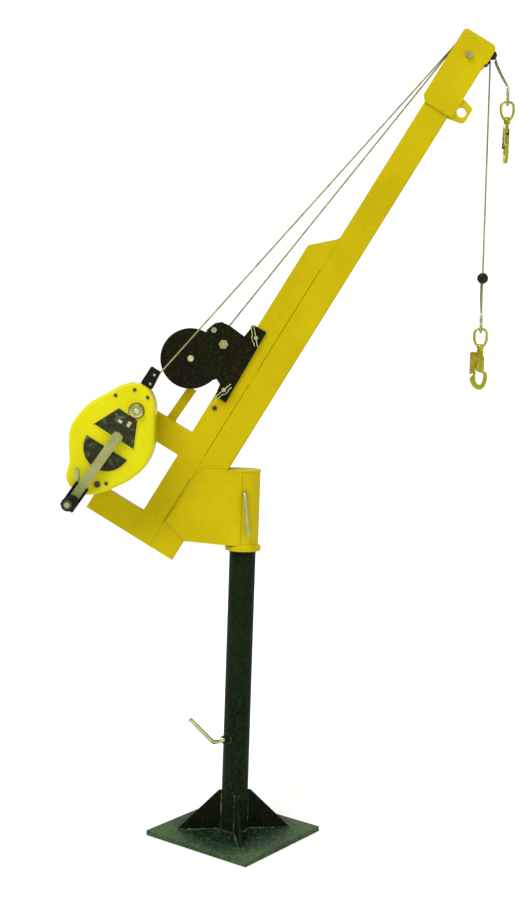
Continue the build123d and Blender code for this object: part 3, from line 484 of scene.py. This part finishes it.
clip_steel = metal("clip_steel", (0.36, 0.42, 0.16), (0.52, 0.58, 0.28), (0.13, 0.17, 0.05),
                   rough=(0.22, 0.38), stains=0.4, scale=2.0)
gear_steel = metal("gear_steel", (0.060, 0.058, 0.045), (0.11, 0.11, 0.085), (0.030, 0.022, 0.012),
                   rough=(0.35, 0.55), stains=0.6, scale=1.5)
case_plastic = moulded("case_plastic", (0.58, 0.54, 0.001), (0.64, 0.60, 0.001), (0.66, 0.56, 0.001),
                       rough=(0.26, 0.38), gloss=0.12)
band_plastic = moulded("band_plastic", (0.52, 0.48, 0.001), (0.60, 0.55, 0.002), (0.48, 0.40, 0.002),
                       rough=(0.30, 0.45))
black_plastic = moulded("black_plastic", (0.003, 0.004, 0.002), (0.007, 0.008, 0.004),
                        (0.040, 0.046, 0.020), rough=(0.30, 0.50), gloss=0.12, rubs=0.6)
ball_plastic = moulded("ball_plastic", (0.003, 0.005, 0.002), (0.007, 0.011, 0.004),
                       (0.050, 0.062, 0.022), rough=(0.30, 0.46), gloss=0.14, rubs=0.6)
nylon = moulded("nylon", (0.006, 0.007, 0.005), (0.012, 0.013, 0.009), (0.040, 0.045, 0.030),
                rough=(0.35, 0.5), gloss=0.1)
worn_film = moulded("worn_film", (0.40, 0.42, 0.20), (0.55, 0.57, 0.30), (0.10, 0.13, 0.05),
                    rough=(0.35, 0.5), rubs=0.8)
rubber = moulded("rubber", (0.004, 0.004, 0.002), (0.009, 0.009, 0.005), (0.050, 0.040, 0.020),
                 rough=(0.45, 0.65), grain=420.0, gloss=0.1, depth=0.3, rubs=0.5)


def label_face():
    """A dark printed plate without any lettering: soft blotches of green and brown under a satin film."""
    s = Shader("label_face", Specular_IOR_Level=0.12, Coat_Weight=0.05, Coat_Roughness=0.3)
    cloud = s.noise(46.0, 5.0, 0.6, bend=0.6)
    body = s.ramp(cloud, (0.34, (0.006, 0.014, 0.004)), (0.47, (0.030, 0.016, 0.006)),
                  (0.56, (0.010, 0.045, 0.012)), (0.68, (0.120, 0.130, 0.055)))
    fleck = s.noise(240.0, 5.0, 0.7)
    body = s.mix(s.ramp(fleck, (0.50, 0.0), (0.70, 0.35)), body, (0.090, 0.060, 0.040))
    return s.done(body, s.ramp(cloud, (0.3, 0.34), (0.7, 0.50)), s.bump(fleck, 0.1, 0.0003))


def chrome_knob():
    """Turned and plated knob: fine turning marks around its own axis."""
    s = Shader("chrome_knob", Metallic=1.0)
    cloud = s.noise(60.0, 4.0)
    body = s.ramp(cloud, (0.35, (0.30, 0.31, 0.09)), (0.52, (0.44, 0.45, 0.16)), (0.68, (0.60, 0.60, 0.27)))
    marks = s.noise(900.0, 2.0, 0.5, s.stretched((0.05, 1.0, 0.05)))
    return s.done(body, s.ramp(cloud, (0.3, 0.16), (0.7, 0.30)), s.bump(marks, 0.12, 0.0002))


label_mat = label_face()
knob_mat = chrome_knob()

FINISH = {
    frame_paint: "boom_tube stiffener_tube head_cheeks head_strips lifting_lug closing_plates",
    sleeve_paint: "mast_spigot head_sleeve knee_plates knee_cap",
    arm_paint: "lower_arm upper_arm strut_bar unit_mount_plate",
    column_paint: "base_tube clamp_nut",
    gusset_paint: "base_gussets",
    base_paint: "base_plate",
    nylon: "column_bushes",
    winch_paint: "winch_plates",
    # Painted shade: unit_screws take this dark steel, which stands in for the shade in the casing's screw
    # holes.
    gear_steel: "winch_drum unit_drum unit_spring unit_screws",
    zinc: "drive_shaft winch_bolts sheave_axle hitch_pins crank_shaft head_spacers clamp_screw lock_pin "
          "unit_lever",
    bar_zinc: "crank_arm",
    clip_steel: "clip_upper clip_lower",
    case_plastic: "unit_front_shell unit_back_shell",
    label_mat: "unit_label",
    knob_mat: "unit_knob",
    black_plastic: "unit_nose crank_channel exit_guide retrieve_sheave hoist_sheave",
    rubber: "crank_grip",
    ball_plastic: "hoist_ball retrieve_ball",
    gold_zinc: "hoist_hook hoist_gate retrieve_hook retrieve_gate hoist_bail retrieve_bail",
    bronze_zinc: "hoist_lock retrieve_lock",
    rope_steel: "hoist_rope retrieve_rope hoist_drop retrieve_end",
}
for mat, names in FINISH.items():
    for name in names.split():
        if not nodes[name].material_slots:
            nodes[name].data.materials.append(mat)
        for slot in nodes[name].material_slots:
            slot.material = mat
left_plain = set(nodes) - {name for names in FINISH.values() for name in names.split()}
if left_plain:
    raise SystemExit(f"nodes without a finish: {sorted(left_plain)}")

# ----------------------------------------------------------------- the ropes
# Circles that the ropes touch, as the middle's X and Z and the radius, and the planes that the ropes lie in.
ROPE = 5.0 * MM
SHEAVE, SHEAVE_R = (601.0, 2268.0), 51.0
EXIT, EXIT_R = (662.5, 2262.0), 9.5
WINCH_ST = (1109.0, 832.0)
WINCH, WINCH_R = boom_xz(*WINCH_ST), 25.5
UNIT, UNIT_R = boom_xz(UNIT_S0 - 9.0, UNIT_T0 + 1.0), 30.8
BALL2 = (671.0, 2276.0)
HOIST_Y, RETRIEVE_Y, UNIT_Y = 18.0, -18.0, -98.0


def tangents(c1, r1, c2, r2):
    """Ends of the straight run whose left side touches both circles."""
    dx, dz = c2[0] - c1[0], c2[1] - c1[1]
    turn = math.atan2(dz, dx) - math.asin((r1 - r2) / math.hypot(dx, dz))
    nx, nz = -math.sin(turn), math.cos(turn)
    return (c1[0] + r1 * nx, c1[1] + r1 * nz), (c2[0] + r2 * nx, c2[1] + r2 * nz)


def wrap(centre, radius, a, b, y, corners):
    """Control points that carry a rope around a circle from a to b, with a lead on each side."""
    first = math.atan2(a[1] - centre[1], a[0] - centre[0])
    sweep = (math.atan2(b[1] - centre[1], b[0] - centre[0]) - first + math.pi) % (2 * math.pi) - math.pi
    step = sweep / corners
    far = radius / math.cos(step / 2)
    angles = [first + step * (k + 0.5) for k in range(corners)]
    ring = [(centre[0] + far * math.cos(k), centre[1] + far * math.sin(k)) for k in angles]
    lead_in = (2 * a[0] - ring[0][0], 2 * a[1] - ring[0][1])
    lead_out = (2 * b[0] - ring[-1][0], 2 * b[1] - ring[-1][1])
    return [at(x, y, z) for x, z in [lead_in, *ring, lead_out]]


def rope_piece(name, line, body):
    """A run of the 5 mm wire rope along the line."""
    bm = bmesh.new()
    wire_rope(bm, line, ROPE, 34.0 * MM)
    return piece(name, bm, body, rope_steel)


hoist_a, hoist_b = tangents(WINCH, -WINCH_R, SHEAVE, SHEAVE_R)
hoist_c, hoist_d = tangents(SHEAVE, SHEAVE_R, EXIT, EXIT_R)
hoist_e = (EXIT[0] + EXIT_R, EXIT[1])
hoist_line = spline_line("hoist_line", [at(hoist_a[0], HOIST_Y, hoist_a[1])]
                         + wrap(SHEAVE, SHEAVE_R, hoist_b, hoist_c, HOIST_Y, 4)
                         + wrap(EXIT, EXIT_R, hoist_d, hoist_e, HOIST_Y, 3)[:-1]
                         + [at(hoist_e[0], HOIST_Y, hoist_e[1])])
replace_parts(rope_piece("hoist_rope_strands", hoist_line, "crane"), "hoist_rope")

ret_a, ret_b = tangents(UNIT, UNIT_R, SHEAVE, SHEAVE_R)
ret_c, _ = tangents(SHEAVE, SHEAVE_R, BALL2, 0.0)
retrieve_line = spline_line("retrieve_line", [at(ret_a[0], UNIT_Y, ret_a[1])]
                            + wrap(SHEAVE, SHEAVE_R, ret_b, ret_c, RETRIEVE_Y, 4)
                            + [at(BALL2[0], RETRIEVE_Y, BALL2[1])])
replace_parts(rope_piece("retrieve_rope_strands", retrieve_line, "crane"), "retrieve_rope")

# The free ends: the winch rope hangs straight, and the other leaves its ball stiffly towards its hook.
HOOK1 = at(672.0, HOIST_Y, 1492.0)
HOOK2 = at(720.0, RETRIEVE_Y, 2146.0)
drop_route = [at(672, HOIST_Y, 2262), at(672, HOIST_Y, 1897), at(672, HOIST_Y, 1532)]
end_route = [at(680, RETRIEVE_Y, 2268), at(686, RETRIEVE_Y, 2250), at(702, RETRIEVE_Y, 2219),
             at(720, RETRIEVE_Y, 2187.1)]
drop_line = spline_line("drop_line", drop_route)
end_line = spline_line("end_line", end_route)
drop = rope_piece("hoist_drop_strands", drop_line, "crane")
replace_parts(drop, "hoist_drop")
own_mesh(drop)
end = rope_piece("retrieve_end_strands", end_line, "crane")
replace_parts(end, "retrieve_end")


def twin(name, line, body):
    """The dead end of the rope, laid back up around the standing part."""
    bm = bmesh.new()
    thick, lay = 4.4 * MM, 320.0 * MM
    run, wound = 0.0, []
    for i, (p, (_, a, b)) in enumerate(zip(line, carried(line))):
        run += (p - line[i - 1]).length if i else 0.0
        turn = 0.6 + 2 * math.pi * run / lay
        wound.append(p + (a * math.cos(turn) + b * math.sin(turn)) * thick)
    wire_rope(bm, wound, thick, 26.0 * MM, 5)
    return piece(name, bm, body, rope_steel)


TWIN_STEP = 2.5 * MM
drop_twin = twin("hoist_twin", even([at(672, HOIST_Y, 1626), at(672, HOIST_Y, 1530)], TWIN_STEP), "hoist_end")
end_twin = twin("retrieve_twin", even(end_line, TWIN_STEP)[3:], "crane")


# ---------------------------------------------------- swivel bails and hooks
BAIL_HALF = [(0, -3.0), (8.5, -3.0), (15.5, -6.5), (18.6, -16), (18.2, -27), (17.6, -37), (13.0, -47),
             (7.5, -54), (2.5, -57)]
BAIL = BAIL_HALF + [(-x, z) for x, z in reversed(BAIL_HALF[1:])]
BARREL = [(4.7, -66), (8.2, -66), (9.5, -64.6), (9.5, -61), (8.8, -60.2), (8.8, -59), (9.5, -58.2),
          (9.5, -52.5), (8.0, -50), (4.7, -50)]
THIMBLE = [(11.2, -2.6), (12.0, -1.6), (12.0, 1.6), (11.2, 2.6), (10.6, 2.4), (11.2, 0.0), (10.6, -2.4)]
FERRULE = [(3.2, 15.0), (4.2, 16.0), (4.6, 18.5), (4.6, 22.0), (4.2, 22.8), (4.6, 26.5), (4.6, 27.3),
           (4.2, 31.0), (4.6, 31.8), (4.6, 36.0), (4.2, 40.0), (3.0, 41.6)]
EYE_R, EYE_UP = 14.5, 2


def swivel(tag, top, body):
    """The bail with its barrel, then the rope's eye, its thimble and the pressed ferrule."""
    curve, spline = new_spline(tag, [top + at(x, 0, z) for x, z in BAIL], 8)
    spline.order_u = 4
    spline.use_cyclic_u = True
    bm = bmesh.new()
    tube(bm, line_of(curve), 3.7 * MM, 14, side=Vector((0, 1, 0)), closed=True)
    ring_of(bm, BARREL, top, UP, 40)
    bail = piece(f"{tag}_bail_forged", bm, body, gold_zinc)
    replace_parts(bail, f"{tag}_bail")
    bm = bmesh.new()
    eye = [top + at(0, EYE_R * math.sin(k), EYE_UP + EYE_R * math.cos(k)) for k in turns(60)]
    wire_rope(bm, eye + [eye[0]], ROPE, 30.0 * MM, 5)
    eye_piece = piece(f"{tag}_rope_eye", bm, body, rope_steel)
    bm = bmesh.new()
    ring_of(bm, THIMBLE, top + at(0, 0, EYE_UP), (1, 0, 0), 48)
    thimble = piece(f"{tag}_thimble", bm, body, bright_zinc)
    bm = bmesh.new()
    tube(bm, [top + at(0, 0, z) for _, z in FERRULE], lambda i, p: FERRULE[i][0] * MM, 20,
         side=Vector((1, 0, 0)))
    ferrule = piece(f"{tag}_ferrule", bm, body, clip_steel)
    return eye_piece, thimble, ferrule


hoist_end_pieces = swivel("hoist", HOOK1, "hoist_end")
retrieve_end_pieces = swivel("retrieve", HOOK2, "crane")

even(drop_line, 5 * MM)
even(end_line, 3 * MM)

# ------------------------------------------------------- edges of the steel
SEAM = 0.02 * MM     # CAD points nearer than this are one point


def broken_edges(names, width):
    """A small bevel along the sharp edges of CAD nodes, with normals weighted to the flats."""
    for name in names.split():
        nodes[name].modifiers.new("weld", "WELD").merge_threshold = SEAM
        flats = nodes[name].modifiers.new("merged", "DECIMATE")
        flats.decimate_type = "DISSOLVE"
        flats.angle_limit = math.radians(0.6)
        edge = nodes[name].modifiers.new("edge", "BEVEL")
        edge.width = width * MM
        edge.segments = 2
        edge.limit_method = "ANGLE"
        edge.angle_limit = math.radians(SHARP)
        nodes[name].modifiers.new("flats", "WEIGHTED_NORMAL").keep_sharp = True


broken_edges("lower_arm upper_arm stiffener_tube strut_bar knee_plates knee_cap head_cheeks head_strips "
             "lifting_lug unit_mount_plate", 0.8)
broken_edges("base_gussets winch_plates crank_arm crank_channel clamp_nut unit_lever", 0.7)
broken_edges("hoist_gate hoist_lock retrieve_gate retrieve_lock", 0.45)
for name in ("hoist_hook", "retrieve_hook"):
    nodes[name].modifiers.new("weld", "WELD").merge_threshold = SEAM
    forged = nodes[name].modifiers.new("forged", "REMESH")
    forged.mode = "VOXEL"
    forged.voxel_size = 0.9 * MM
    forged.use_smooth_shade = True
    relax = nodes[name].modifiers.new("relax", "SMOOTH")
    relax.factor = 0.5
    relax.iterations = 5


# ------------------------------------------------------------- weld beads
def bead(name, lines, body, mat, size, pitch, closed=False):
    """Runs of weld of slightly uneven width; size is its radius and pitch one ripple, in millimetres."""
    bm = bmesh.new()
    for line in lines:
        points = even(line, pitch / 4 * MM)
        if closed:
            points = points[:-1]
        last = len(points) - 1

        def width(i, p):
            ripple = 0.90 + 0.14 * abs(math.sin(math.pi * i / 4)) + 0.16 * noise.noise(p * 110.0)
            ends = 1.0 if closed else min(1.0, 0.35 + 0.3 * min(i, last - i))
            return size * MM * ripple * ends

        tube(bm, points, width, 8, closed=closed)
    return piece(name, bm, body, mat, sharp=60.0)


def circle(centre, radius):
    """A closed level circle, its last point on its first."""
    ring = around(centre, UP, radius, 72)
    return ring + [ring[0]]


COLUMN_R = 38.05
FILLET_Z = 12.7 + 0.6               # the base plate's top and a weld's middle over it
GUSSET_TURN, GUSSET_SIDE = 8.75, 4.6
GUSSET_OUT, GUSSET_TOP = 161.0, 124.0
gusset_runs = []
for k in range(4):
    turn = math.radians(GUSSET_TURN + 90.0 * k)
    c, s = math.cos(turn), math.sin(turn)
    tips = []
    for side in (-GUSSET_SIDE, GUSSET_SIDE):
        for places in (((COLUMN_R + 0.4, GUSSET_TOP), (COLUMN_R + 0.4, 14.7)),
                       ((COLUMN_R + 2.0, FILLET_Z), (GUSSET_OUT, FILLET_Z))):
            gusset_runs.append([at(c * r - s * side, s * r + c * side, z) for r, z in places])
        tips.append(gusset_runs[-1][-1])
    gusset_runs.append(tips)
bead("base_weld_runs", gusset_runs, "base", base_weld, 3.0, 4.2)
bead("base_weld_ring", [circle(at(0, 0, FILLET_Z), COLUMN_R + 0.8)], "base", base_weld,
     3.0, 4.2, True)

CLAMP_Z, NUT_WELD_R = 281.0, 13.6
nut_turn = math.radians(225.0)
nut_way = Vector((math.cos(nut_turn), math.sin(nut_turn), 0.0))
nut_side = Vector((-nut_way.y, nut_way.x, 0.0))
nut_ring = []
for k in turns(48) + [2 * math.pi]:
    off = NUT_WELD_R * math.cos(k)
    nut_ring.append((nut_way * math.sqrt(COLUMN_R ** 2 - off ** 2) + nut_side * off
                     + Vector((0, 0, CLAMP_Z + NUT_WELD_R * math.sin(k)))) * MM)
bead("nut_weld", [nut_ring], "base", base_weld, 2.2, 3.6, True)


def frame_bead(name, lines, size, pitch, mat=weld_highlight_paint, closed=False):
    """A weld on the yellow frame."""
    return bead(name, lines, "crane", mat, size, pitch, closed)


frame_bead("collar_weld", [circle(at(0, 0, 841.6), 45.2)], 2.6, 3.8, closed=True)
frame_bead("knee_weld", [[at(-127, -41.2, 1056.2), at(-40, -41.2, 1056.2)],
                         [at(-127.8, -41.0, 1055.5), at(-222.6, -41.0, 908.3)],
                         [at(-127, 41.2, 1056.2), at(-40, 41.2, 1056.2)],
                         [at(-127.8, 41.0, 1055.5), at(-222.6, 41.0, 908.3)],
                         [at(-164.0, -40.9, 850.6), at(-222.6, -40.9, 907.4)]], 2.3, 3.8)
ARMS = ((588.0, 663.0), (854.0, 929.0))     # where the two arms meet the boom, along it
frame_bead("arm_welds", [[st(s1 + 0.4, 718.4, y) for y in (0.4, 0.5, -39.6)] for _, s1 in ARMS], 2.2, 3.8)
frame_bead("arm_fills", [[st(s0 + 1, 718.2, -39.1), st(s1 - 1, 718.2, -39.1)] for s0, s1 in ARMS],
           1.35, 3.0, frame_paint)
frame_bead("strut_weld", [[st(929.6, t, y) for t, y in ((776.0, -12.4), (803.0, -12.4), (803.0, 12.4),
                                                        (776.0, 12.4), (776.0, -12.4))]], 2.2, 3.6, closed=True)
SEAMS = ((589, 668), (813, 893), (1132, 1180), (1520, 1622))
frame_bead("seam_welds", [[st(s0, 650.6, y), st(s1, 650.6, y)] for s0, s1 in SEAMS for y in (-38.6, 38.6)],
           2.4, 4.0, frame_paint)
frame_bead("sleeve_weld", [[at(-8.6, -44.0, 846), at(-8.6, -44.0, 1053)]], 2.3, 4.2, sleeve_paint)
frame_bead("lug_weld", [[st(2087, 561.0, -41.2), st(2151, 561.0, -41.2)]], 1.8, 3.4)
# The second run marks the bright fold at the head's top corner: a painted highlight, in the lighter weld paint.
frame_bead("head_weld", [[st(2086.0, 652.2, -41.0), st(2086.0, 573.0, -41.0)],
                         [st(2320, 658, -45.9), st(2304, 648, -45.9), st(2317, 626, -45.9)]], 1.7, 3.4)
frame_bead("taper_weld", [[st(1624.5, 652.0, -37.5), st(1624.5, 652.0, 37.5)]], 2.4, 3.8)


# ------------------------------------------------- rope on the winch's drum
def winding(name, centre, radius, y0, y1, body, leaves, leaves_y):
    """One layer of rope laid side by side, in step with the place where the rope runs off."""
    start = math.atan2(leaves[1] - centre[1], leaves[0] - centre[0])
    pitch, steps = 5.1, 48
    line = []
    for n in range(round((y0 - leaves_y) / pitch * steps), round((y1 - leaves_y) / pitch * steps) + 1):
        k = start + 2 * math.pi * n / steps
        line.append(at(centre[0] + radius * math.cos(k), leaves_y + pitch * n / steps,
                       centre[1] + radius * math.sin(k)))
    bm = bmesh.new()
    wire_rope(bm, line, 4.9 * MM, 36.0 * MM, 5)
    return piece(name, bm, body, rope_steel)


winding("winch_windings", WINCH, WINCH_R, -21.0, 28.2, "winch_reel", hoist_a, HOIST_Y)

# -------------------------------------------------------- turned small parts
KNOB_UV = (119, -15)
CRANK_UV = (27.35, -8.2)
CASE_FACE = -150.0                  # the casing's front face, on Y


def fitting(name, profile, centre, body, mat):
    """A solid turned about the Y axis, its heights measured towards the front."""
    bm = bmesh.new()
    turned(bm, profile, centre, FRONT, 40)
    return piece(name, bm, body, mat)


def collar(name, profile, centre, body, mat):
    """A ring turned about the Y axis, its heights measured towards the front."""
    bm = bmesh.new()
    ring_of(bm, profile, centre, FRONT, 48)
    return piece(name, bm, body, mat)


def washer(inner, outer, low, high):
    """A flat ring's profile with its outer corners broken."""
    return [(inner, low), (outer - 0.3, low), (outer, low + 0.3), (outer, high - 0.3), (outer - 0.3, high),
            (inner, high)]


collar("pin_bush", [(5.7, 42.0), (9.0, 42.0), (9.0, 49.2), (8.2, 50.0), (6.4, 50.0), (5.7, 49.3)],
       at(1.0, 0, 997.0), "crane", sleeve_paint)
fitting("axle_cup", [(0, 0.8), (3.0, 0.8), (3.6, 1.6), (5.4, 1.6), (6.4, 0.8), (6.4, -1.0)],
        st(*WINCH_ST, -52.0), "crane", bright_zinc)
fitting("frame_screw", [(0, 1.6), (3.0, 1.6), (3.4, 4.2), (5.8, 4.2), (6.6, 3.4), (6.6, -1.0)],
        st(1024.5, 698.9, -40.0), "crane", gear_steel)
collar("grip_washer", washer(5.7, 13.0, 0.1, 1.9), nodes_centre("crank_grip", -266.0), "unit_crank",
       gear_steel)
GRIP_RIBS = ((-190, 18.2), (-200, 18.9), (-211, 18.6), (-222, 18.0), (-233, 18.3), (-244, 18.9), (-254, 18.9))
for k, (y, radius) in enumerate(GRIP_RIBS):
    collar(f"grip_rib_{k}", [(radius - 1.4, -1.6), (radius + 0.2, -1.2), (radius + 0.8, 0.0),
                             (radius + 0.2, 1.2), (radius - 1.4, 1.6)],
           nodes_centre("crank_grip", y), "unit_grip", rubber)
fitting("crank_boss_end", [(0, 0.35), (4.6, 0.35), (5.6, 0.2), (6.4, 0.0), (6.4, -1.0)],
        uv(*CRANK_UV, -171.0), "unit_crank", bar_zinc)
fitting("knob_button", [(0, 1.9), (3.0, 1.7), (5.2, 1.0), (6.0, 0.0), (6.0, -1.0)],
        uv(*KNOB_UV, -160.3), "unit_selector", bright_zinc)
collar("knob_seat", washer(5.2, 22.5, 0.0, 0.55), uv(*KNOB_UV, CASE_FACE), "crane", black_plastic)
for k, (u, w) in enumerate(((227, -1.5), (199, -5))):
    fitting(f"nose_screw_{k}", [(0, 2.2), (1.8, 2.0), (3.6, 1.2), (4.2, 0.0), (4.2, -1.0)],
            uv(u, w, -104.0), "crane", zinc)

# The clamp screw's thread, and the casing's seam and ribs.
THREAD_FROM, THREAD_PITCH, THREAD_TURNS, THREAD_R = 52.5, 1.75, 13, 6.0
bm = bmesh.new()
thread = []
for n in range(THREAD_TURNS * 24 + 1):
    k = 2 * math.pi * n / 24
    thread.append((nut_way * (THREAD_FROM + THREAD_PITCH * n / 24)
                   + (nut_side * math.cos(k) + Vector((0, 0, math.sin(k)))) * THREAD_R
                   + Vector((0, 0, CLAMP_Z))) * MM)
tube(bm, thread, 0.62 * MM, 6)
piece("clamp_thread", bm, "clamp_handle", bright_zinc, 70.0)


def outer_loop(name, y):
    """The outer outline of a CAD node where it lies in the plane y, in order around its middle."""
    places = {(round(v.co.x, 5), round(v.co.z, 5)) for v in nodes[name].data.vertices
              if abs(v.co.y - y * MM) < SEAM}
    mx = sum(p[0] for p in places) / len(places)
    mz = sum(p[1] for p in places) / len(places)
    polar = sorted((math.atan2(z - mz, x - mx), math.hypot(x - mx, z - mz)) for x, z in places)
    wall, near = 3.2 * MM, 0.06

    def farthest(a):
        return max(r for b, r in polar if abs((b - a + math.pi) % (2 * math.pi) - math.pi) < near)

    return [Vector((mx + r * math.cos(a), y * MM, mz + r * math.sin(a))) for a, r in polar
            if r > farthest(a) - wall]


seam = outer_loop("unit_front_shell", -100.0)
bm = bmesh.new()
middle = sum(seam, Vector()) / len(seam)
gasket = even([p + (middle - p).normalized() * (0.8 * MM) for p in seam + [seam[0]]], 2.5 * MM)[:-1]
tube(bm, gasket, 1.5 * MM, 10, side=Vector((0, 1, 0)), closed=True)
piece("case_gasket", bm, "crane", black_plastic)


def rib(name, corners):
    """A closed raised line on the casing, its corners eased."""
    bm = bmesh.new()
    line = even(corners + [corners[0]], 2.0 * MM)[:-1]
    for _ in range(3):
        line = [(line[i - 1] + line[i] * 2 + line[(i + 1) % len(line)]) / 4 for i in range(len(line))]
    tube(bm, line, 1.3 * MM, 8, side=Vector((0, 1, 0)), closed=True)
    return piece(name, bm, "crane", band_plastic)


RIB_Y = CASE_FACE - 0.3
rib("label_rib_right", [uv(u, w, RIB_Y) for u, w in ((21.5, 70), (20.5, -69), (100, -33), (102, 32))])
arc = [math.radians(90 + 6 * n) for n in range(31)]
rib("label_rib_left", [uv(-12 + 68 * math.cos(k), 1 + 68 * math.sin(k), RIB_Y) for k in arc]
    + [uv(-9, -67, RIB_Y), uv(-9, 69, RIB_Y)])
for k, (u, w, du, dw) in enumerate(((76, -17, 8, 5), (70, 8, 4, 6))):
    bm = bmesh.new()
    plate(bm, [uv(u + a * du, w + b * dw, -151.1) for a, b in ((-1, -1), (1, -1), (1, 1), (-1, 1))], 0.6, 0.12)
    piece(f"label_patch_{k}", bm, "crane", worn_film)

# ----------------------------------------------------------------- the stage
bm = bmesh.new()
for x, y in ((-30, -30), (30, -30), (30, 30), (-30, 30)):
    bm.verts.new((x, y, -1.2 * MM))
bm.faces.new(bm.verts)
mesh = bpy.data.meshes.new("floor")
bm.to_mesh(mesh)
bm.free()
floor = bpy.data.objects.new("floor", mesh)
scene.collection.objects.link(floor)
s = Shader("floor", Specular_IOR_Level=0.1)
s.done(s.ramp(s.noise(1.4, 2.0), (0.4, (0.90, 0.90, 0.90)), (0.6, (0.92, 0.92, 0.92))),
       s.ramp(s.noise(2.0, 2.0), (0.4, 0.8), (0.6, 0.85)), s.bump(s.noise(200.0, 2.0), 0.02, 0.0005))
floor.data.materials.append(s.mat)

# White behind the object, and a softer white light on it from all round.
world = bpy.data.worlds.new("studio")
world.use_nodes = True
scene.world = world
tree = world.node_tree
tree.nodes.clear()
out = tree.nodes.new("ShaderNodeOutputWorld")
rays = tree.nodes.new("ShaderNodeLightPath")
seen = tree.nodes.new("ShaderNodeBackground")
seen.inputs["Color"].default_value = (1.0, 1.0, 1.0, 1.0)
seen.inputs["Strength"].default_value = 1.1
fill = tree.nodes.new("ShaderNodeBackground")
fill.inputs["Color"].default_value = (1.0, 0.995, 0.985, 1.0)
fill.inputs["Strength"].default_value = 0.62
both = tree.nodes.new("ShaderNodeMixShader")
tree.links.new(rays.outputs["Is Camera Ray"], both.inputs["Fac"])
tree.links.new(fill.outputs["Background"], both.inputs[1])
tree.links.new(seen.outputs["Background"], both.inputs[2])
tree.links.new(both.outputs["Shader"], out.inputs["Surface"])


def lamp(name, kind, way, energy):
    """A light of this kind that shines along way."""
    data = bpy.data.lights.new(name, kind)
    data.energy = energy
    light = bpy.data.objects.new(name, data)
    scene.collection.objects.link(light)
    light.rotation_euler = way.to_track_quat("-Z", "Y").to_euler()
    return light


key = lamp("key", "SUN", Vector((1.7, 2.2, -3.9)), 2.4)
key.data.angle = math.radians(28.0)
key.data.color = (1.0, 0.985, 0.95)
MIDDLE = Vector((0.1, 0.0, 1.2))
for name, place, watts in (("side", (3.6, -3.0, 2.6), 40.0), ("back", (0.5, 4.2, 3.8), 70.0)):
    soft = lamp(name, "AREA", MIDDLE - Vector(place), watts)
    soft.location = place
    soft.data.shape = "DISK"
    soft.data.size = 2.4

scene.view_settings.view_transform = "Standard"
